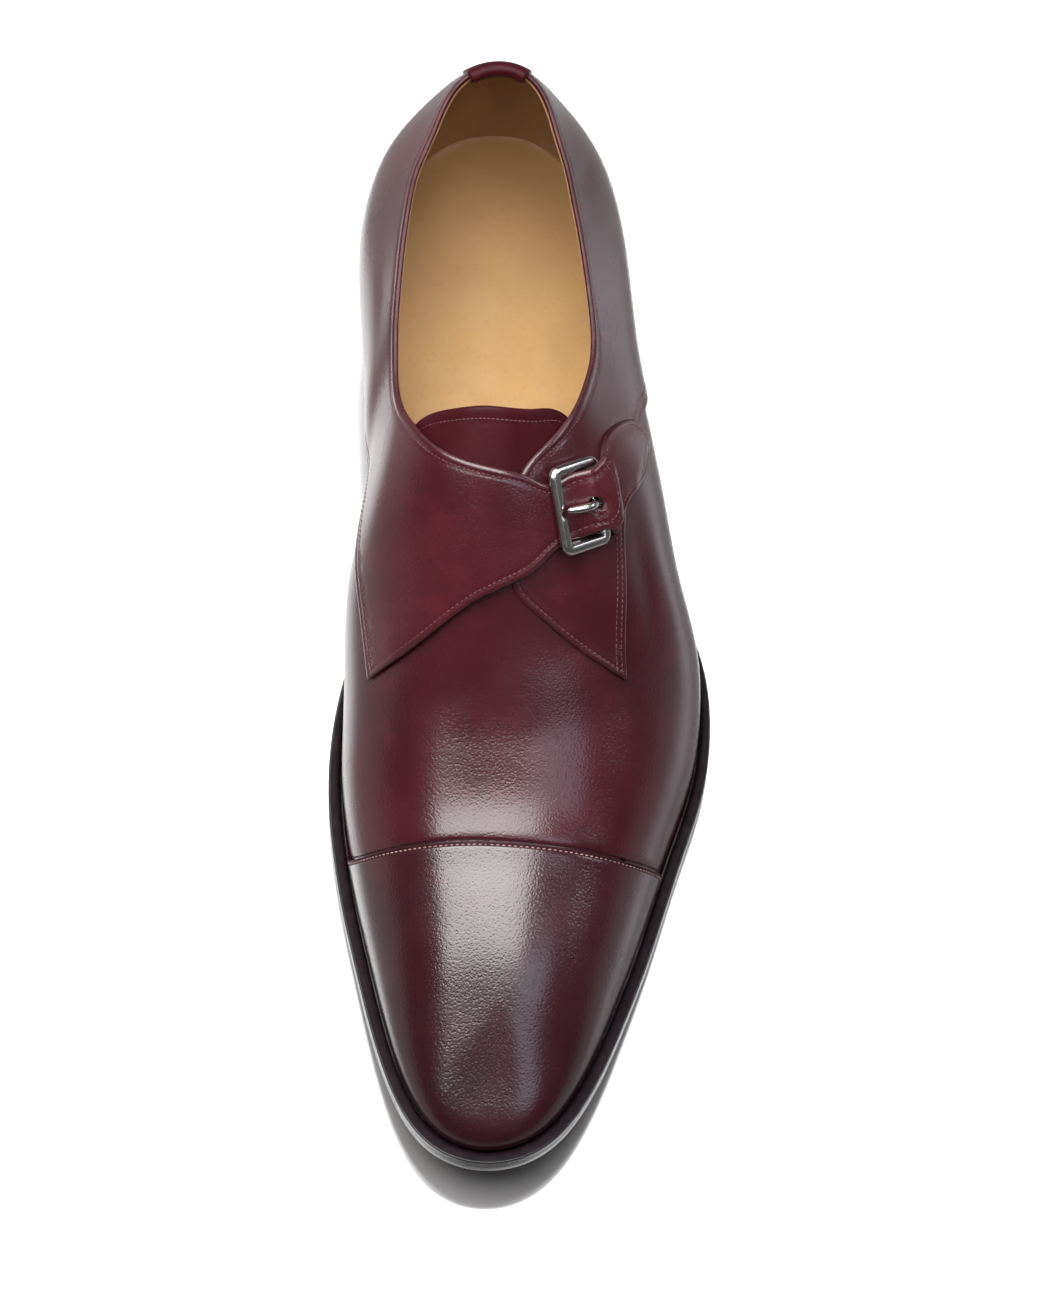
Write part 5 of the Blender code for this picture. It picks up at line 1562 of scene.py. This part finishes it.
    leaf_rim, *lug_lines = (trace(rows, 1.0) for rows in (STAY_EDGE, STAY_LUG_LOW, STAY_SLOT, STAY_LUG_TOP))

    def stay_lifts(points, turn, girth, edge):
        # The leaf lies on the outer quarter, and on the vamp past its seam.
        off = smooth_step(outside_by(points, outer.outline), 0.5, 5.5)
        low = QUARTER_LEATHER * (1 - off) + creases(points) + LEAF_GAP
        lug = 1 - smooth_step(beside_bars(station_of(turn), girth), 0.322, 0.340)
        high = low + STAY_LEATHER + (LUG_LIFT - LEAF_GAP - QUARTER_LEATHER - STAY_LEATHER) * lug
        return low, high + groove(distance_to_line(points, leaf_rim), STAY_IN, 0.16) * (1 - lug)

    stay = Sheet("stay_leaf", join(leaf_rim, *lug_lines), stay_lifts, 1.2, rounding=0.55, low_rounding=0.1,
                 rows=(0.1, 0.4, 0.9, 1.5))

    # The vamp's faces beside the cap's seam and the cap's margin take the dark cut look: painted shade along the
    # seam.
    for sheet, look, rim, reach, behind, nodes in (
        (vamp, "vamp", "cut", 0.04, (crest, 0.95), ("upper",)),
        (cap, "cap", "cut", 1.35, None, ("upper",)),
        (outer, "quarter", "rim", 0.55, None, ("upper",)),
        (inner, "strap", "rim", 0.55, None, ("upper", "strap")),
        (lining, "lining", "rim", 0.0, None, ("upper",)),
        (tongue, "tongue", "rim", 0.3, None, ("tongue",)),
        (stay, "strap", "cut", 0.5, None, ("stay",)),
    ):
        verts, faces = sheet.mesh()
        kinds = sheet.cut_faces(reach, behind)
        item = piece(sheet.name, verts, faces, mats[look], weld=0.004, kinds=kinds, second=mats[rim])
        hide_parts(*nodes)

    stitches("cap_stitches", [(cap, beside(seam, -CAP_IN))], mats["cap_thread"], pitch=1.5, width=0.42, share=0.62)
    near, far = SEAM_INS
    rows = inset_rows(outer, (lower, near), (lower, far), (front, near), (collar, COLLAR_IN))
    stitches("outer_stitches", rows + bartack(outer, lower), mats["thread"])
    rows = inset_rows(inner, (inner_lower, near), (inner_lower, far), (edge_line, STRAP_IN),
                      (end, STRAP_END_IN), (low_line, STRAP_IN))
    stitches("inner_stitches", rows + bartack(inner, inner_lower), mats["thread"])
    rows = inset_rows(tongue, (tongue_edge, TONGUE_IN)) + inset_rows(stay, (leaf_rim, STAY_IN))
    stitches("small_stitches", rows, mats["thread"])


# ----------------------------- the studio

FLOOR_COLOUR = (0.17, 0.165, 0.163)
FLOOR_HALF_WIDTH = 6
WHITE = (1, 1, 1)
COOL = (0.84, 0.86, 1.0)
FILL_PLACE = (0.66, -1.02, 1.00)
LIGHTS = [
    # name, place, target (None for straight down), size, power, colour, shape
    ("top_box", (-0.335, 0.190, 0.90), None, (1.37, 0.98), 30.5, WHITE, "RECTANGLE"),
    ("top_box_lip", (-0.335, -0.325, 0.90), None, (1.37, 0.05), 0.7, WHITE, "RECTANGLE"),
    ("top_box_heart", (-0.30, 0.090, 0.89), None, (1.0, 0.44), 1.6, WHITE, "RECTANGLE"),
    ("toe_glint", (0.68, -0.47, 1.00), None, (0.66, 0.34), 1.35, (0.80, 0.84, 1.0), "ELLIPSE"),
    ("right_window", (1.90, 0.55, 1.20), (0, 0, 0.03), (1.5, 0.6), 13.0, (0.88, 0.90, 1.0), "RECTANGLE"),
]
# Rings of weak light inside one another, so that the fill fades out at its rim.
LIGHTS[3:3] = [(f"fill_{number}", FILL_PLACE, None, (1.15 * share, 0.80 * share), 0.16 * share**2, COOL, "ELLIPSE")
               for number, share in enumerate((1.0, 0.8, 0.6, 0.4))]
CAMERA_ELEVATION = math.radians(69.5)
CAMERA_DISTANCE = 2.4
CAMERA_SIDE = -0.0585
SENSOR_WIDTH = 36.0
VIEW_HEIGHT = 0.362
AIM = (0.0, -0.004, 0.022)


def area_light(name, place, target, size, power, colour, shape):
    data = bpy.data.lights.new(name, "AREA")
    data.shape = shape
    data.size, data.size_y = size
    data.energy = power
    data.color = colour
    item = new_object(name, data)
    item.location = place
    way = Vector(target or (*place[:2], 0)) - Vector(place)
    item.rotation_euler = way.to_track_quat("-Z", "Y").to_euler()
    item.visible_camera = False


def make_floor():
    """A pale floor, matt with a thin gloss."""
    n = new_material("pale_floor")
    n.finish(Base_Color=FLOOR_COLOUR, Roughness=0.5)
    gloss = n.add("ShaderNodeBsdfGlossy", (("Color", WHITE), ("Roughness", 0.09)))
    sockets = (("Fac", 0.155), (1, n.shader.outputs["BSDF"]), (2, gloss.outputs["BSDF"]))
    blend = n.add("ShaderNodeMixShader", sockets)
    n.fill(n.tree.nodes["Material Output"].inputs["Surface"], blend.outputs["Shader"])
    mesh = bpy.data.meshes.new("floor")
    half = FLOOR_HALF_WIDTH
    mesh.from_pydata([(-half, -half, 0), (half, -half, 0), (half, half, 0), (-half, half, 0)], [], [(0, 1, 2, 3)])
    mesh.materials.append(n.owner)
    new_object("floor", mesh)


def make_camera():
    """A long lens at the photograph's angle, turned to its aim without a roll."""
    data = bpy.data.cameras.new("camera")
    data.sensor_width = SENSOR_WIDTH
    data.lens = SENSOR_WIDTH * CAMERA_DISTANCE / VIEW_HEIGHT
    data.clip_start = 0.05
    data.clip_end = 20.0
    camera = new_object("camera", data)
    middle = [(a + b) / 2 for a, b in zip(*CAD_BOX)]
    forward = Vector((0, math.cos(CAMERA_ELEVATION), -math.sin(CAMERA_ELEVATION)))
    place = Vector((CAMERA_SIDE, 0, 0)) - forward * CAMERA_DISTANCE
    aim = Vector((middle[0] + AIM[0], middle[1] + AIM[1], AIM[2])) - place
    right = Vector((1, 0, 0))
    first = Matrix((right, right.cross(forward), -forward)).transposed()
    turned = forward.rotation_difference(aim.normalized()).to_matrix() @ first
    camera.matrix_world = Matrix.Translation(place) @ turned.to_4x4()
    bpy.context.scene.camera = camera


def make_stage():
    """The pale floor, dim surroundings that are dimmer overhead, the soft lights and the camera."""
    make_floor()
    world = bpy.data.worlds.new("studio")
    bpy.context.scene.world = world
    sky = Nodes(world, "Background", "Generated")
    sky.finish(Color=WHITE, Strength=sky.ramp(sky.along("Z"), 0.01, 0.20, 0.12, 0.07))
    for row in LIGHTS:
        area_light(*row)
    make_camera()
    bpy.context.scene.view_settings.view_transform = "Standard"


# ----------------------------- the scene


def clear_scene():
    for item in list(bpy.data.objects):
        bpy.data.objects.remove(item, do_unlink=True)


def frame_shift():
    """From the shoe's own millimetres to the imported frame, by the outsole's box."""
    corner = np.concatenate(sole_loop(sole_edge(0.0), 44)).min(axis=0)
    low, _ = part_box("outsole")
    return np.array([low[0] / MM - corner[0], low[1] / MM - corner[1], 0.0])


def stand_for(item, node):
    """Lets a piece stand for one node by hiding that node."""
    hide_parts(node)


def make_outsole(material, bottom):
    """The outsole, with its lower corner rounded and a fine line below its top."""
    rows = [
        (-1.2, tread_z, 0.0),
        (-0.5, tread_z, 0.10),
        (-0.12, tread_z, 0.36),
        (0.0, tread_z, 0.85),
        (0.0, bed_z, -1.2),
        (0.0, bed_z, -0.14),
        (0.0, bed_z, -0.06),
        (-0.06, bed_z, 0.0),
    ]
    rings = [(sole_loop(sole_edge(out)), lambda s, z=z, up=up: z(s) + up) for out, z, up in rows]
    return plate("outsole_leather", rings, material, bottom)


def make_heel_lifts(material):
    """The stack's lifts, each with eased edges, leaning in from the lowest to the highest."""
    low, high = TOP_LIFT + GAP, HEEL_HEIGHT - GAP
    rows = []
    for k in range(LIFTS):
        a, b = (low + (high - low) * n / LIFTS for n in (k, k + 1))
        for z, cut in ((a, LIFT_CUT), (a + LIFT_EASE, 0.0), (b - LIFT_EASE, 0.0), (b, LIFT_CUT)):
            share = (z - low) / (high - low)
            rows.append((z, (HEEL_TAPER - STACK_LEAN) * (1 - share) + STACK_LEAN * share + cut))
    return heel_part("heel_lifts", rows, material)


def make_top_piece(material):
    """The heel's lowest piece, of rubber, with its two corners eased."""
    rows = ((0.0, 0.5), (0.35, 0.08), (0.8, 0.0), (5.2, -0.35), (5.7, -0.3), (TOP_LIFT, 0.0))
    return heel_part("heel_top_piece", [(z, HEEL_TAPER + cut) for z, cut in rows], material)


clear_scene()
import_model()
CAD_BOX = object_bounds()
CAD_BOX = (list(CAD_BOX[0]), list(CAD_BOX[1]))
SHIFT = frame_shift()

looks = {
    "vamp": calf("calf_vamp", (0.0294, 0.0032, 0.0064), (0.0434, 0.0045, 0.0089), (0.0632, 0.0071, 0.0128),
                 wax=0.55, burnish=0.55),
    "cap": calf("calf_cap", (0.0223, 0.0025, 0.0053), (0.0336, 0.0037, 0.0073), (0.0495, 0.0055, 0.0102),
                wax=0.90, burnish=0.6),
    "quarter": calf("calf_quarter", (0.0282, 0.0032, 0.0063), (0.0434, 0.0047, 0.0091), (0.0632, 0.0072, 0.0132),
                    wax=0.60),
    "strap": calf("calf_strap", (0.0329, 0.0034, 0.0066), (0.0518, 0.0053, 0.0099), (0.0752, 0.0079, 0.0146),
                  wax=0.58),
    "tongue": calf("calf_tongue", (0.028, 0.0034, 0.0056), (0.036, 0.0041, 0.0068), (0.044, 0.0049, 0.0080),
                   wax=0.0, haze=0.16, specular=0.10),
    "lining": lining_leather("lining_leather", (0.2376, 0.126, 0.0612), (0.3096, 0.1692, 0.0806)),
    # The sock's colour darkens towards the heel: painted shade.
    "sock": lining_leather("sock_leather", (0.3432, 0.1911, 0.0671), (0.4056, 0.2278, 0.0811), 0.50, 1300.0, 0.45),
    "thread": waxed_thread("waxed_thread", (0.050, 0.014, 0.017), (0.100, 0.034, 0.037)),
    "cap_thread": waxed_thread("cap_thread", (0.20, 0.085, 0.085), (0.34, 0.17, 0.16)),
    # Dyed cut edges, and painted shade along both sides of the cap's seam.
    "cut": cut_leather("seam_shade_and_cut_edges", (0.012, 0.0035, 0.0045), (0.024, 0.0060, 0.0075), 0.15),
    # Edge dye made lighter and pinker than the dye itself: a painted sheen on the rounded edges.
    "rim": cut_leather("edge_dye_and_painted_sheen", (0.030, 0.0072, 0.0084), (0.055, 0.0125, 0.0145), 0.34),
    "edge": edge_dressing("edge_dressing"),
    # Black dye, darker and purplish: a painted reflection of the burgundy upper and painted shade at the upper's
    # foot.
    "welt_top_painted_reflection": cut_leather("welt_top_painted_reflection", (0.006, 0.0030, 0.0045), (0.011, 0.0052, 0.0075), 0.06),
    "sole": sole_leather("sole_leather"),
    "rubber": heel_rubber("heel_rubber"),
    "nickel": nickel_plate("nickel_plate"),
}

make_upper_pieces(looks)
stand_for(make_outsole(looks["edge"], looks["sole"]), "outsole")
stand_for(make_welt(looks["edge"], looks["welt_top_painted_reflection"]), "welt")
stand_for(make_heel_lifts(looks["edge"]), "heel_stack")
stand_for(make_top_piece(looks["rubber"]), "top_lift")
stand_for(make_sock(looks["sock"]), "insole")
stand_for(make_buckle(looks["nickel"]), "buckle_frame")
stand_for(make_prong(looks["nickel"]), "prong")
stand_for(make_heel_tab(looks["tongue"]), "heel_tab")

make_stage()
